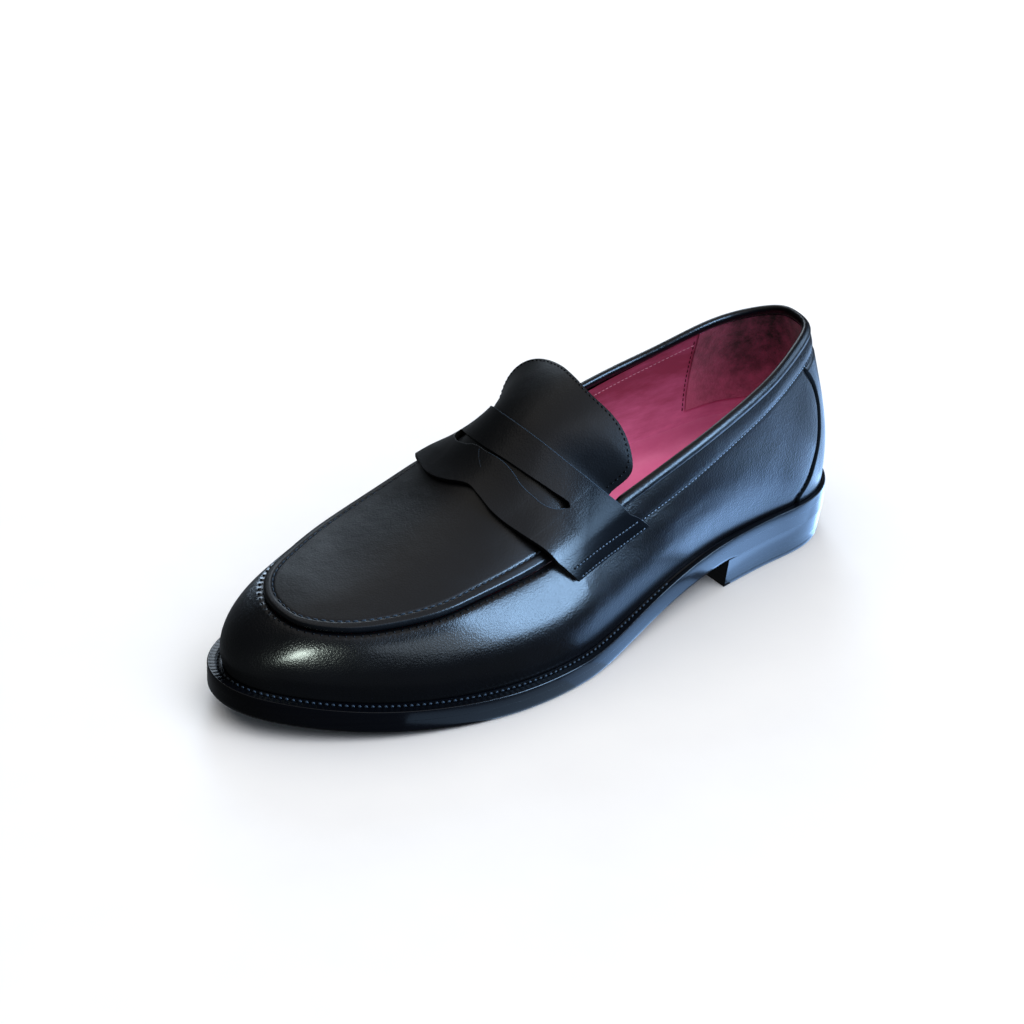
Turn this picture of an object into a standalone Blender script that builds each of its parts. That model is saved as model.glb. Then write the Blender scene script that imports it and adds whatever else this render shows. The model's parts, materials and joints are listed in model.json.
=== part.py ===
"""Black leather penny loafer, wearer's left shoe, standing empty on its sole.

Frame: metres, +Z up, toe toward +X, outer (lateral) side toward +Y,
origin at the middle of the bounding box on the floor.
The tables are in millimetres: x runs from the heel's back to the toe,
y is zero on the line from the heel to the toe, z is zero on the floor.
"""
import bpy
import bmesh
import numpy as np

MM = 0.001

# Driving sizes, in millimetres
SHOE_LENGTH = 300.0
HEEL_SEAT_Z = 14.0
TOE_SPRING = 10.1
SPRING_START_X = 193.0
FLAT_START_X = 167.0
BREAST_X = 76.0
OUTSOLE_THICK = 5.6
WELT_THICK = 4.0
JOINT_GAP = 0.3
TOP_LIFT_THICK = 5.0
UPPER_WALL = 2.2
APRON_STEP = 1.5
APRON_STEP_IN = 0.5
STEP_START = 1.2
STEP_RUN = 0.6
STRAP_THICK = 1.8
TONGUE_THICK = 1.8
STAY_THICK = 0.9
BINDING_RADIUS = 1.5
INSOLE_RISE = 2.4
INSOLE_CLEAR = 0.6
FEATHER_RISE = OUTSOLE_THICK + WELT_THICK + 2 * JOINT_GAP

# Mesh counts
COLUMNS = 120
SOLE_COLUMNS = 90
WALL_ROWS = 7
APRON_ROWS = 5

# Stations round the shoe, from the heel's back along the outer side to the toe
# and home along the inner side.
# out_x, out_y: outline of the sole. ledge: welt showing outside the upper.
# rim_x, rim_y, rim_z: top edge of the wall, topline behind and apron seam in front.
# foot: how far the wall swells out low down. shoulder, drop: how the wall meets the rim.
STATION_COLUMNS = ("name", "out_x", "out_y", "ledge", "rim_x", "rim_y", "rim_z", "foot", "shoulder", "drop")
STATIONS = (
    ("heel_back", 0.0, -7.0, 2.4, 10.0, -9.0, 88.5, 1.5, 8.0, 0.45),
    ("heel_round_outer", 6.5, 13.0, 2.4, 14.5, 2.0, 88.3, 1.5, 8.0, 0.45),
    ("heel_outer", 22.0, 24.6, 2.4, 27.5, 11.0, 87.2, 1.5, 8.0, 0.45),
    ("counter_outer", 45.0, 28.0, 2.6, 48.0, 20.8, 84.8, 2.0, 6.0, 0.45),
    ("breast_outer", 76.0, 31.6, 3.0, 74.0, 27.0, 79.6, 2.5, 5.0, 0.45),
    ("waist_outer", 110.0, 37.2, 3.4, 106.0, 30.8, 71.6, 2.5, 5.0, 0.45),
    ("throat_outer", 138.0, 44.4, 4.2, 138.0, 32.2, 61.5, 2.5, 7.0, 0.40),
    ("strap_outer", 162.0, 51.2, 5.0, 159.0, 34.6, 56.0, 3.0, 9.0, 0.30),
    ("ball_back_outer", 183.0, 54.0, 5.4, 178.0, 37.0, 50.4, 3.0, 9.5, 0.25),
    ("ball_outer", 206.0, 53.2, 6.0, 209.0, 38.8, 47.8, 3.2, 9.0, 0.22),
    ("vamp_outer", 229.0, 48.6, 6.2, 230.0, 38.2, 46.2, 3.4, 8.0, 0.22),
    ("toe_side_outer", 250.0, 41.5, 6.2, 248.0, 33.4, 45.3, 3.4, 8.0, 0.22),
    ("toe_bend_outer", 270.0, 31.2, 6.2, 263.0, 27.2, 45.5, 3.4, 8.0, 0.22),
    ("toe_round_outer", 286.5, 19.0, 6.2, 274.0, 18.0, 46.0, 3.4, 8.5, 0.22),
    ("toe_near_outer", 297.0, 6.5, 6.2, 278.6, 8.0, 46.5, 3.6, 9.0, 0.22),
    ("toe_tip", 300.0, -5.0, 6.2, 278.8, -3.0, 47.0, 4.0, 9.5, 0.22),
    ("toe_near_inner", 297.0, -17.0, 6.0, 275.5, -12.0, 47.6, 4.4, 9.5, 0.22),
    ("toe_round_inner", 287.0, -28.5, 5.6, 269.0, -19.5, 48.1, 4.5, 9.0, 0.22),
    ("toe_bend_inner", 270.0, -38.8, 5.6, 257.0, -26.0, 48.9, 4.2, 8.5, 0.22),
    ("toe_side_inner", 248.0, -46.5, 5.6, 240.0, -32.0, 50.5, 3.6, 8.5, 0.22),
    ("vamp_inner", 222.0, -50.6, 5.6, 219.0, -36.5, 53.0, 3.0, 8.0, 0.25),
    ("ball_inner", 198.0, -49.2, 5.6, 198.0, -38.7, 57.2, 3.0, 7.0, 0.28),
    ("ball_back_inner", 175.0, -45.0, 5.0, 180.0, -40.3, 60.5, 3.0, 5.0, 0.32),
    ("strap_inner", 155.0, -40.5, 4.4, 162.0, -39.5, 62.5, 2.5, 4.0, 0.40),
    ("throat_inner", 133.0, -37.2, 3.6, 142.0, -37.6, 62.1, 2.5, 3.5, 0.45),
    ("waist_inner", 107.0, -37.0, 3.2, 110.0, -37.2, 68.4, 2.0, 3.5, 0.45),
    ("breast_inner", 75.0, -39.2, 3.0, 74.0, -37.6, 74.9, 2.0, 4.0, 0.45),
    ("counter_inner", 45.0, -40.2, 2.6, 45.0, -33.9, 81.9, 2.0, 6.0, 0.45),
    ("heel_inner", 22.0, -37.6, 2.4, 25.0, -30.5, 84.6, 1.5, 8.0, 0.45),
    ("heel_round_inner", 6.5, -26.5, 2.4, 12.0, -21.0, 87.5, 1.5, 8.0, 0.45),
)
COUNT = len(STATIONS)
THROAT = 6
TOE_TIP = 15
APRON_SPAN = TOE_TIP - THROAT

# Ridge of the apron, from the throat under the strap to the toe; one row per pair of
# stations. outer_power, inner_power: how round each half of the section is.
# sweep: how the section bends along the foot.
RIDGE_COLUMNS = ("x", "y", "z", "outer_power", "inner_power", "sweep")
RIDGE = (
    (162.5, -5.0, 90.0, 2.5, 3.0, 2.6),
    (174.5, -4.0, 79.5, 2.4, 2.8, 2.4),
    (187.5, -3.0, 70.0, 2.2, 2.4, 2.0),
    (207.0, -3.0, 62.2, 2.0, 2.1, 1.6),
    (225.0, -3.0, 57.6, 2.0, 2.0, 1.4),
    (240.0, -3.0, 54.4, 2.0, 2.0, 1.2),
    (250.0, -3.0, 52.7, 1.9, 1.9, 1.1),
    (257.0, -3.0, 51.6, 1.7, 1.7, 1.0),
    (261.0, -3.0, 51.0, 1.4, 1.4, 1.0),
    (263.0, -3.0, 50.7, 1.15, 1.15, 1.0),
)

# Tongue: it carries on from the apron's section under the strap to this tip.
TIP_COLUMNS = ("outer_x", "outer_y", "outer_z", "crest_x", "crest_y", "crest_z",
               "inner_x", "inner_y", "inner_z", "power")
TIP = (126.0, 28.0, 82.0, 136.0, -5.0, 103.0, 129.5, -35.5, 96.5, 2.2)
TONGUE_TUCK = 0.22
TONGUE_HINGE = 0.05
TONGUE_REACH = 0.93
TONGUE_BOW = 1.5
TONGUE_CORNER = 0.22

# Saddle strap: edges as places along the apron, for steps across the instep.
# across: 0 at the outer end, 0.2 at the outer rim, 0.5 on the ridge, 1 at the inner end.
STRAP_COLUMNS = ("across", "back", "front")
STRAP = (
    (0.00, -0.34, 1.50),
    (0.10, -0.16, 1.74),
    (0.20, 0.07, 1.93),
    (0.28, 0.09, 2.08),
    (0.37, 0.10, 2.15),
    (0.43, 0.11, 2.08),
    (0.48, 0.11, 2.03),
    (0.52, 0.11, 2.12),
    (0.56, 0.11, 2.24),
    (0.65, 0.10, 2.36),
    (0.72, 0.09, 2.32),
    (0.80, 0.07, 2.16),
    (0.90, -0.16, 1.95),
    (1.00, -0.34, 1.70),
)
STRAP_END_DROP = 0.72
RIM_ACROSS = 0.2

# Slot in the strap: its two long edges as places along the apron.
SLOT_COLUMNS = ("across", "back", "front")
SLOT = (
    (0.256, 0.80, 0.90),
    (0.266, 0.79, 1.07),
    (0.285, 0.82, 1.20),
    (0.320, 0.87, 1.24),
    (0.360, 0.93, 1.24),
    (0.390, 0.96, 1.15),
    (0.430, 0.99, 1.09),
    (0.500, 1.03, 1.13),
    (0.570, 1.04, 1.15),
    (0.610, 1.04, 1.25),
    (0.650, 1.03, 1.30),
    (0.690, 1.00, 1.27),
    (0.725, 0.96, 1.15),
    (0.735, 0.95, 1.03),
)

# Back stay: half width in stations for heights up the wall.
STAY_COLUMNS = ("height", "half_width")
STAY = (
    (0.03, 2.50),
    (0.10, 2.28),
    (0.23, 2.06),
    (0.37, 1.82),
    (0.50, 1.66),
    (0.65, 1.55),
    (0.78, 1.64),
    (0.90, 1.95),
)


def closed_spline(knots, total, rows):
    """Periodic cubic through rows at knots; returns a function of the knot value."""
    n = len(rows)
    rows = np.asarray(rows, float).reshape(n, -1)
    ends = np.append(knots[1:], total)
    h = ends - knots
    slope = (np.roll(rows, -1, axis=0) - rows) / h[:, None]
    system = np.zeros((n, n))
    right = np.zeros_like(rows)
    for i in range(n):
        before = (i - 1) % n
        after = (i + 1) % n
        system[i, before] += h[before]
        system[i, i] += 2 * (h[before] + h[i])
        system[i, after] += h[i]
        right[i] = 6 * (slope[i] - slope[before])
    bend = np.linalg.solve(system, right)

    def value(t):
        t = np.atleast_1d(t) % total
        i = np.clip(np.searchsorted(knots, t, side="right") - 1, 0, n - 1)
        j = (i + 1) % n
        a = ((t - knots[i]) / h[i])[:, None]
        b = 1 - a
        hh = (h[i] ** 2 / 6)[:, None]
        return b * rows[i] + a * rows[j] + hh * ((b ** 3 - b) * bend[i] + (a ** 3 - a) * bend[j])

    return value


def open_spline(places, rows):
    """Smooth curve through rows, with slopes from the neighbours; a function of place."""
    places = np.asarray(places, float)
    rows = np.asarray(rows, float).reshape(len(places), -1)
    slope = np.gradient(rows, places, axis=0)

    def value(t):
        t = np.clip(np.atleast_1d(np.asarray(t, float)), places[0], places[-1])
        i = np.clip(np.searchsorted(places, t, side="right") - 1, 0, len(places) - 2)
        h = (places[i + 1] - places[i])[:, None]
        a = ((t - places[i]) / h[:, 0])[:, None]
        start = (1 + 2 * a) * (1 - a) ** 2 * rows[i] + a * (1 - a) ** 2 * h * slope[i]
        return start + a * a * (3 - 2 * a) * rows[i + 1] + a * a * (a - 1) * h * slope[i + 1]

    return value


TABLE = np.array([row[1:] for row in STATIONS])
OUTLINE_STEPS = np.linalg.norm(np.roll(TABLE[:, :2], -1, axis=0) - TABLE[:, :2], axis=1)
KNOTS = np.append(0.0, np.cumsum(OUTLINE_STEPS)[:-1])
PERIMETER = OUTLINE_STEPS.sum()
STATION_CURVE = closed_spline(KNOTS, PERIMETER, TABLE)
RIDGE_CURVE = open_spline(range(len(RIDGE)), RIDGE)
STRAP_EDGE = open_spline([row[0] for row in STRAP], [row[1:] for row in STRAP])
SLOT_EDGE = open_spline([row[0] for row in SLOT], [row[1:] for row in SLOT])
STAY_EDGE = open_spline([row[0] for row in STAY], [row[1:] for row in STAY])


def distance_at(u):
    """Station number to distance round the outline."""
    u = np.atleast_1d(np.asarray(u, float))
    whole = np.floor(u)
    i = whole.astype(int) % COUNT
    return KNOTS[i] + (u - whole) * OUTLINE_STEPS[i]


def station(u):
    """All table columns at station u, smooth between rows."""
    return STATION_CURVE(distance_at(u))


def outward(u):
    """Level direction out of the shoe at station u."""
    d = distance_at(u)
    along = STATION_CURVE(d + 0.5)[:, :2] - STATION_CURVE(d - 0.5)[:, :2]
    out = np.stack([-along[:, 1], along[:, 0]], axis=1)
    return out / np.linalg.norm(out, axis=1)[:, None]


def sole_bottom(x):
    """Height of the outsole's underside along the foot: heel seat, arch, flat, toe spring."""
    x = np.asarray(x, float)
    rise = np.clip((FLAT_START_X - x) / (FLAT_START_X - BREAST_X + 6), 0, 1)
    arch = HEEL_SEAT_Z * rise ** 2 * (3 - 2 * rise)
    spring = TOE_SPRING * (np.clip(x - SPRING_START_X, 0, None) / (SHOE_LENGTH - SPRING_START_X)) ** 2
    return arch + spring


def inset(u, by):
    """Outline moved in by a distance, level."""
    return station(u)[:, :2] - outward(u) * np.reshape(by, (-1, 1))


def wall(u, v):
    """Outer face of the upper's wall: v is 0 at the welt and 1 at the rim."""
    u = np.atleast_1d(np.asarray(u, float))
    v = np.broadcast_to(np.asarray(v, float), u.shape)[:, None]
    row = station(u)
    out = np.column_stack([outward(u), np.zeros(len(u))])
    base = np.column_stack([inset(u, row[:, 2]), np.zeros(len(u))])
    base[:, 2] = sole_bottom(base[:, 0]) + FEATHER_RISE
    rim = row[:, 3:6]
    tall = (rim[:, 2] - base[:, 2])[:, None]
    up = np.array([[0.0, 0.0, 1.0]])
    low = base + out * row[:, 6:7] + up * tall * 0.40
    high = rim + out * row[:, 7:8] - up * tall * row[:, 8:9]
    w = 1 - v
    return w ** 3 * base + 3 * w * w * v * low + 3 * w * v * v * high + v ** 3 * rim


def apron_edge(k, side):
    """Raised edge of the apron above the rim, k stations forward of the throat."""
    k = np.atleast_1d(np.asarray(k, float))
    u = THROAT + k if side > 0 else COUNT - THROAT - k
    lift = np.clip((k - STEP_START) / STEP_RUN, 0, 1)[:, None]
    edge = station(u)[:, 3:6]
    toward = RIDGE_CURVE(k)[:, :3] - edge
    toward[:, 2] = 0
    toward /= np.linalg.norm(toward, axis=1)[:, None]
    return edge + lift * (toward * APRON_STEP_IN + np.array([[0, 0, APRON_STEP]]))


def apron(k, r, side):
    """Top face of the apron: r is 0 on the ridge and 1 at the seam."""
    k = np.atleast_1d(np.asarray(k, float))
    r = np.broadcast_to(np.asarray(r, float), k.shape)
    row = RIDGE_CURVE(k)
    edge = apron_edge(k, side)
    power = row[:, 3] if side > 0 else row[:, 4]
    share = np.column_stack([r ** row[:, 5], r, r ** power])
    return row[:, :3] + (edge - row[:, :3]) * share


def instep(across, k):
    """Outer face over the instep, from the outer wall over the apron to the inner wall."""
    across = np.atleast_1d(np.asarray(across, float))
    k = np.broadcast_to(np.asarray(k, float), across.shape)
    points = np.zeros((len(across), 3))
    for side, mirrored in ((1, across), (-1, 1 - across)):
        mine = mirrored <= 0.5 if side > 0 else mirrored < 0.5
        on_wall = mine & (mirrored < RIM_ACROSS - 0.0001)
        on_apron = mine & ~on_wall
        if on_wall.any():
            u = THROAT + k[on_wall] if side > 0 else COUNT - THROAT - k[on_wall]
            v = STRAP_END_DROP + (1 - STRAP_END_DROP) * mirrored[on_wall] / RIM_ACROSS
            points[on_wall] = wall(u, v)
        if on_apron.any():
            r = np.clip((0.5 - mirrored[on_apron]) / (0.5 - RIM_ACROSS), 0, 1)
            points[on_apron] = apron(np.maximum(k[on_apron], 0.0), r, side)
    return points


def tongue_face(t, r):
    """Top face of the tongue: t is -1 under the strap, 0 at the strap's edge and 1 at the tip.

    r runs from -1 on the inner edge to 1 on the outer edge.
    """
    t = np.atleast_1d(np.asarray(t, float))
    r = np.broadcast_to(np.asarray(r, float), t.shape)
    s = np.abs(r)
    k = TONGUE_HINGE + (TONGUE_TUCK - TONGUE_HINGE) * np.clip(-t, 0, 1)
    base = np.where((r > 0)[:, None], apron(k, s * TONGUE_REACH, 1), apron(k, s * TONGUE_REACH, -1))
    out = (np.clip(t, 0, 1) * (1 - TONGUE_CORNER * s ** 5))[:, None]
    crest = np.array([TIP[3:6]])
    edge = np.where((r > 0)[:, None], [TIP[0:3]], [TIP[6:9]])
    tip = crest + (edge - crest) * np.column_stack([s ** TIP[9], s, s ** TIP[9]])
    bow = TONGUE_BOW * 4 * out * (1 - out) * np.array([[0.4, 0.0, 0.9]])
    return base + (tip - base) * out + bow


SPREAD = station(np.linspace(0, COUNT, 1200, endpoint=False))
CENTRE_X = 0.5 * (SPREAD[:, 0].min() + SPREAD[:, 0].max())
CENTRE_Y = 0.5 * (SPREAD[:, 1].min() + SPREAD[:, 1].max())


def to_scene(points):
    """Table millimetres to metres about the origin of the part."""
    return (np.asarray(points, float) - np.array([CENTRE_X, CENTRE_Y, 0.0])) * MM


def clear_scene():
    for thing in list(bpy.data.objects):
        bpy.data.objects.remove(thing, do_unlink=True)


def new_collection(name):
    group = bpy.data.collections.new(name)
    bpy.context.scene.collection.children.link(group)
    return group


def material(name, colour, roughness):
    made = bpy.data.materials.new(name)
    made.use_nodes = True
    shader = made.node_tree.nodes["Principled BSDF"]
    shader.inputs["Base Color"].default_value = (*colour, 1.0)
    shader.inputs["Roughness"].default_value = roughness
    return made


def add_object(name, points, faces, group, finish):
    """Mesh object from table points; welds the shared edge points."""
    mesh = bpy.data.meshes.new(name)
    mesh.from_pydata([tuple(p) for p in to_scene(points)], [], faces)
    work = bmesh.new()
    work.from_mesh(mesh)
    bmesh.ops.remove_doubles(work, verts=work.verts, dist=0.000002)
    bmesh.ops.dissolve_degenerate(work, edges=work.edges, dist=0.000002)
    bmesh.ops.recalc_face_normals(work, faces=work.faces)
    work.to_mesh(mesh)
    work.free()
    thing = bpy.data.objects.new(name, mesh)
    group.objects.link(thing)
    if finish:
        mesh.materials.append(finish)
    return thing


def strip_faces(rows, across, first=0):
    """Quads of a grid that is stored row by row."""
    faces = []
    for i in range(rows - 1):
        for j in range(across - 1):
            a = first + i * across + j
            faces.append((a, a + 1, a + 1 + across, a + across))
    return faces


def face_out(thing, point, direction):
    """Turn all faces of an open sheet so the one nearest a table point looks along direction."""
    mesh = thing.data
    spot = to_scene([point])[0]
    best = min(mesh.polygons, key=lambda f: sum((f.center[i] - spot[i]) ** 2 for i in range(3)))
    if sum(best.normal[i] * direction[i] for i in range(3)) < 0:
        mesh.flip_normals()


def thicken(thing, thick, offset):
    """Shell of real thickness on an open sheet; offset -1 is inward and 1 is outward."""
    shell = thing.modifiers.new("shell", "SOLIDIFY")
    shell.thickness = thick * MM
    shell.offset = offset
    shell.use_even_offset = True
    shell.use_rim = True
    return shell


def make_upper(group, finish):
    """Vamp, quarters and apron as one hollow shell, open at the collar and underneath."""
    u = np.arange(COLUMNS) * COUNT / COLUMNS
    per = COLUMNS // COUNT
    points = []
    faces = []
    for i in range(WALL_ROWS + 1):
        v = i / WALL_ROWS
        points.extend(wall(u, v))
    for i in range(WALL_ROWS):
        for j in range(COLUMNS):
            a = i * COLUMNS + j
            b = i * COLUMNS + (j + 1) % COLUMNS
            faces.append((a, b, b + COLUMNS, a + COLUMNS))
    top = WALL_ROWS * COLUMNS
    k = np.arange(1, APRON_SPAN * per + 1) / per
    for side in (1, -1):
        first = len(points)
        for m in range(APRON_ROWS + 1):
            points.extend(apron(k, 1 - m / APRON_ROWS, side))
        faces.extend(strip_faces(APRON_ROWS + 1, len(k), first))
        for j in range(len(k) - 1):
            near = THROAT * per + 1 + j if side > 0 else COLUMNS - THROAT * per - 1 - j
            far = near + side
            faces.append((top + near, top + far, first + j + 1, first + j))
    upper = add_object("upper", points, faces, group, finish)
    face_out(upper, (230.0, 50.0, 30.0), (0, 1, 0))
    thicken(upper, UPPER_WALL, -1)
    return upper


def ring_solid(name, rings, group, finish):
    """Closed band between rings of equal count, such as a welt."""
    n = len(rings[0])
    points = np.concatenate(rings)
    faces = []
    for i in range(len(rings)):
        here = i * n
        there = (i + 1) % len(rings) * n
        for j in range(n):
            nxt = (j + 1) % n
            faces.append((here + j, here + nxt, there + nxt, there + j))
    return add_object(name, points, faces, group, finish)


def plate_solid(name, rings, group, finish):
    """Solid plate from rings bottom to top, capped by strips across the foot."""
    n = len(rings[0])
    points = np.concatenate(rings)
    faces = []
    for i in range(len(rings) - 1):
        for j in range(n):
            nxt = (j + 1) % n
            a = i * n
            faces.append((a + j, a + nxt, a + n + nxt, a + n + j))
    for first in (0, (len(rings) - 1) * n):
        for j in range(n // 2):
            pair = (first + j, first + j + 1, first + (n - j - 1) % n, first + (n - j) % n)
            corners = list(dict.fromkeys(pair))
            if len(corners) > 2:
                faces.append(tuple(corners))
    return add_object(name, points, faces, group, finish)


def raised(flat, lift):
    """Level outline laid on the sole's curve and lifted."""
    return np.column_stack([flat, sole_bottom(flat[:, 0]) + lift])


def make_outsole(group, finish):
    u = np.arange(SOLE_COLUMNS) * COUNT / SOLE_COLUMNS
    rings = [
        raised(inset(u, 1.0), 0.0),
        raised(inset(u, 0.0), 1.4),
        raised(inset(u, 0.0), OUTSOLE_THICK - 0.4),
        raised(inset(u, 0.4), OUTSOLE_THICK),
    ]
    return plate_solid("outsole", rings, group, finish)


def make_welt(group, finish):
    u = np.arange(SOLE_COLUMNS) * COUNT / SOLE_COLUMNS
    inner = station(u)[:, 2] + UPPER_WALL - 0.2
    low = OUTSOLE_THICK + JOINT_GAP
    rings = [
        raised(inset(u, 0.5), low),
        raised(inset(u, 0.1), low + 0.4),
        raised(inset(u, 0.1), low + WELT_THICK - 0.6),
        raised(inset(u, 0.7), low + WELT_THICK),
        raised(inset(u, inner), low + WELT_THICK),
        raised(inset(u, inner), low),
    ]
    return ring_solid("welt", rings, group, finish)


def make_insole(group, finish):
    u = np.arange(SOLE_COLUMNS) * COUNT / SOLE_COLUMNS
    edge = station(u)[:, 2] + UPPER_WALL + INSOLE_CLEAR
    low = OUTSOLE_THICK + JOINT_GAP
    high = FEATHER_RISE + INSOLE_RISE
    rings = [raised(inset(u, edge), low), raised(inset(u, edge), high)]
    return plate_solid("insole", rings, group, finish)


def heel_ring(shrink, z):
    """Heel outline from breast corner to breast corner, moved in, at one height."""
    u = np.linspace(-4, 4, 33)
    flat = inset(u % COUNT, shrink)
    flat = flat[flat[:, 0] < BREAST_X - 0.5]
    ends = []
    for corner in (-4.05, 4.05):
        ends.append(inset(corner % COUNT, shrink)[0, 1])
    start = (BREAST_X, ends[0])
    finish = (BREAST_X, ends[1])
    ring = np.vstack([start, flat, finish])
    return np.column_stack([ring, np.full(len(ring), z)])


def heel_piece(name, levels, group, finish):
    """Stacked heel piece through rings of equal count, closed top and bottom."""
    rings = [heel_ring(shrink, z) for shrink, z in levels]
    n = min(len(r) for r in rings)
    points = np.concatenate(rings)
    faces = []
    for i in range(len(rings) - 1):
        for j in range(n):
            nxt = (j + 1) % n
            a = i * n
            faces.append((a + j, a + nxt, a + n + nxt, a + n + j))
    faces.append(tuple(range(n)))
    faces.append(tuple(range((len(rings) - 1) * n, len(rings) * n)))
    return add_object(name, points, faces, group, finish)


def off_sheet(grid, by):
    """Grid of points moved along its own normals; the normals look out of the shoe."""
    normal = np.cross(np.gradient(grid, axis=0), np.gradient(grid, axis=1))
    normal /= np.linalg.norm(normal, axis=2)[:, :, None]
    return grid + normal * by


def sheet_object(name, grid, group, finish):
    rows, across = grid.shape[:2]
    return add_object(name, grid.reshape(-1, 3), strip_faces(rows, across), group, finish)


def strap_grid(across, edges, rows):
    """Points of the instep between two edges, row by row."""
    grid = np.zeros((rows, len(across), 3))
    for i in range(rows):
        k = edges[:, 0] + (edges[:, 1] - edges[:, 0]) * i / (rows - 1)
        grid[i] = instep(across, k)
    return grid


def make_strap(group, cutters, finish):
    """Saddle strap over the instep, with the long slot cut through it."""
    across = np.linspace(1, 0, 51)
    grid = strap_grid(across, STRAP_EDGE(across), 7)
    strap = sheet_object("saddle_strap", off_sheet(grid, JOINT_GAP + 0.1), group, finish)
    face_out(strap, (174.0, -4.0, 80.0), (0.6, 0, 0.8))
    thicken(strap, STRAP_THICK, 1)
    across = np.linspace(SLOT[-1][0], SLOT[0][0], 29)
    grid = strap_grid(across, SLOT_EDGE(across), 2)
    slot = sheet_object("slot_cutter", off_sheet(grid, -1.0), cutters, None)
    face_out(slot, (174.0, -4.0, 80.0), (0.6, 0, 0.8))
    thicken(slot, 6.0, 1)
    slot.hide_render = True
    slot.display_type = "WIRE"
    cut = strap.modifiers.new("slot", "BOOLEAN")
    cut.operation = "DIFFERENCE"
    cut.solver = "EXACT"
    cut.object = slot
    return strap


TONGUE_STEPS = (-1.0, -0.5, 0.0, 0.15, 0.35, 0.6, 0.8, 1.0)


def make_tongue(group, finish):
    r = np.linspace(1, -1, 23)
    grid = np.array([tongue_face(np.full(len(r), t), r) for t in TONGUE_STEPS])
    tongue = sheet_object("tongue", grid, group, finish)
    face_out(tongue, (148.0, -6.0, 96.0), (0.4, 0, 0.9))
    thicken(tongue, TONGUE_THICK, -1)
    return tongue


def make_binding(group, finish):
    """Rolled edge along the topline, from the strap round the heel to the strap."""
    u = np.linspace(COUNT - THROAT + 0.1, COUNT + THROAT - 0.1, 49)
    rim = station(u)[:, 3:6]
    below = wall(u, 0.96)
    rise = rim - below
    rise /= np.linalg.norm(rise, axis=1)[:, None]
    along = np.gradient(rim, axis=0)
    along /= np.linalg.norm(along, axis=1)[:, None]
    out = np.cross(rise, along)
    out /= np.linalg.norm(out, axis=1)[:, None]
    out *= np.sign(np.sum(out[:, :2] * outward(u), axis=1))[:, None]
    middle = rim - out * UPPER_WALL / 2 + rise * (JOINT_GAP + BINDING_RADIUS)
    sides = 6
    points = []
    for m in range(sides):
        turn = 2 * np.pi * (m + 0.5) / sides
        points.append(middle + BINDING_RADIUS * (np.cos(turn) * out + np.sin(turn) * rise))
    grid = np.array(points)
    count = len(u)
    faces = []
    for m in range(sides):
        here = m * count
        there = (m + 1) % sides * count
        for j in range(count - 1):
            faces.append((here + j, here + j + 1, there + j + 1, there + j))
    faces.append(tuple(m * count for m in range(sides)))
    faces.append(tuple(m * count + count - 1 for m in range(sides)))
    return add_object("topline_binding", grid.reshape(-1, 3), faces, group, finish)


def make_back_stay(group, finish):
    """Narrow-waisted leather piece over the seam at the heel's back."""
    v = np.linspace(STAY[0][0], STAY[-1][0], 10)
    half = STAY_EDGE(v)[:, 0]
    grid = np.array([wall(np.linspace(-w, w, 19) % COUNT, h) for w, h in zip(half, v)])
    stay = sheet_object("back_stay", off_sheet(grid, JOINT_GAP + 0.1), group, finish)
    face_out(stay, (2.0, -8.0, 50.0), (-1, 0, 0))
    thicken(stay, STAY_THICK, 1)
    return stay


def build():
    clear_scene()
    group = new_collection("penny_loafer")
    cutters = new_collection("cutters")
    black_calf = material("black_calf", (0.012, 0.012, 0.014), 0.35)
    edge_black = material("sole_edge_black", (0.014, 0.015, 0.018), 0.4)
    lining = material("burgundy_lining", (0.2, 0.03, 0.07), 0.6)
    rubber = material("black_rubber", (0.015, 0.015, 0.015), 0.6)
    make_upper(group, black_calf)
    make_strap(group, cutters, black_calf)
    make_tongue(group, black_calf)
    make_binding(group, black_calf)
    make_back_stay(group, black_calf)
    make_insole(group, lining)
    make_welt(group, edge_black)
    make_outsole(group, edge_black)
    block = ((1.0, TOP_LIFT_THICK + JOINT_GAP), (0.4, HEEL_SEAT_Z - JOINT_GAP))
    heel_piece("heel_block", block, group, edge_black)
    lift = ((1.8, 0.0), (1.2, 0.7), (1.0, TOP_LIFT_THICK))
    heel_piece("top_lift", lift, group, rubber)


build()
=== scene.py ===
import json

import bmesh
import bpy
import numpy as np
from mathutils import Matrix, Vector

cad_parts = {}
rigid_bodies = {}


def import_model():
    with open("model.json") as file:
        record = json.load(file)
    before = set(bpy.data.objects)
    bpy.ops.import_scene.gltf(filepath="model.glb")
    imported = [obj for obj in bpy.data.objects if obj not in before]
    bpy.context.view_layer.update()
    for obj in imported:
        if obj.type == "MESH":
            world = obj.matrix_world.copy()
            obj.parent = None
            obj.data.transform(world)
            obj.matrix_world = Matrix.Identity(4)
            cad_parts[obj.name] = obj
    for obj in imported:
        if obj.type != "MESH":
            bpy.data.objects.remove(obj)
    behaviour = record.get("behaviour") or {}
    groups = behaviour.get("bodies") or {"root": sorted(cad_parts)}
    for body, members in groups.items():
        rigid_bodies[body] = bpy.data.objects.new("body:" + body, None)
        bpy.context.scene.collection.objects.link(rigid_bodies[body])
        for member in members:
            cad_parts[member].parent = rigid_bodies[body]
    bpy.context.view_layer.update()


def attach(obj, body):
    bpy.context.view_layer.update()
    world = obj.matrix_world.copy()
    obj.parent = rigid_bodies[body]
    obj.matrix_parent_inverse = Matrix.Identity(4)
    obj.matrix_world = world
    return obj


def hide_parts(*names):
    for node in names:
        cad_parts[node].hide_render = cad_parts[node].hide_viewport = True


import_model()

# Black penny loafer, wearer's left shoe. The tables are in millimetres in the shoe's own frame:
# x from the heel's back to the toe, y to the outer side, z up from the floor.
MM = 0.001
UP = np.array([0.0, 0.0, 1.0])

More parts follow.
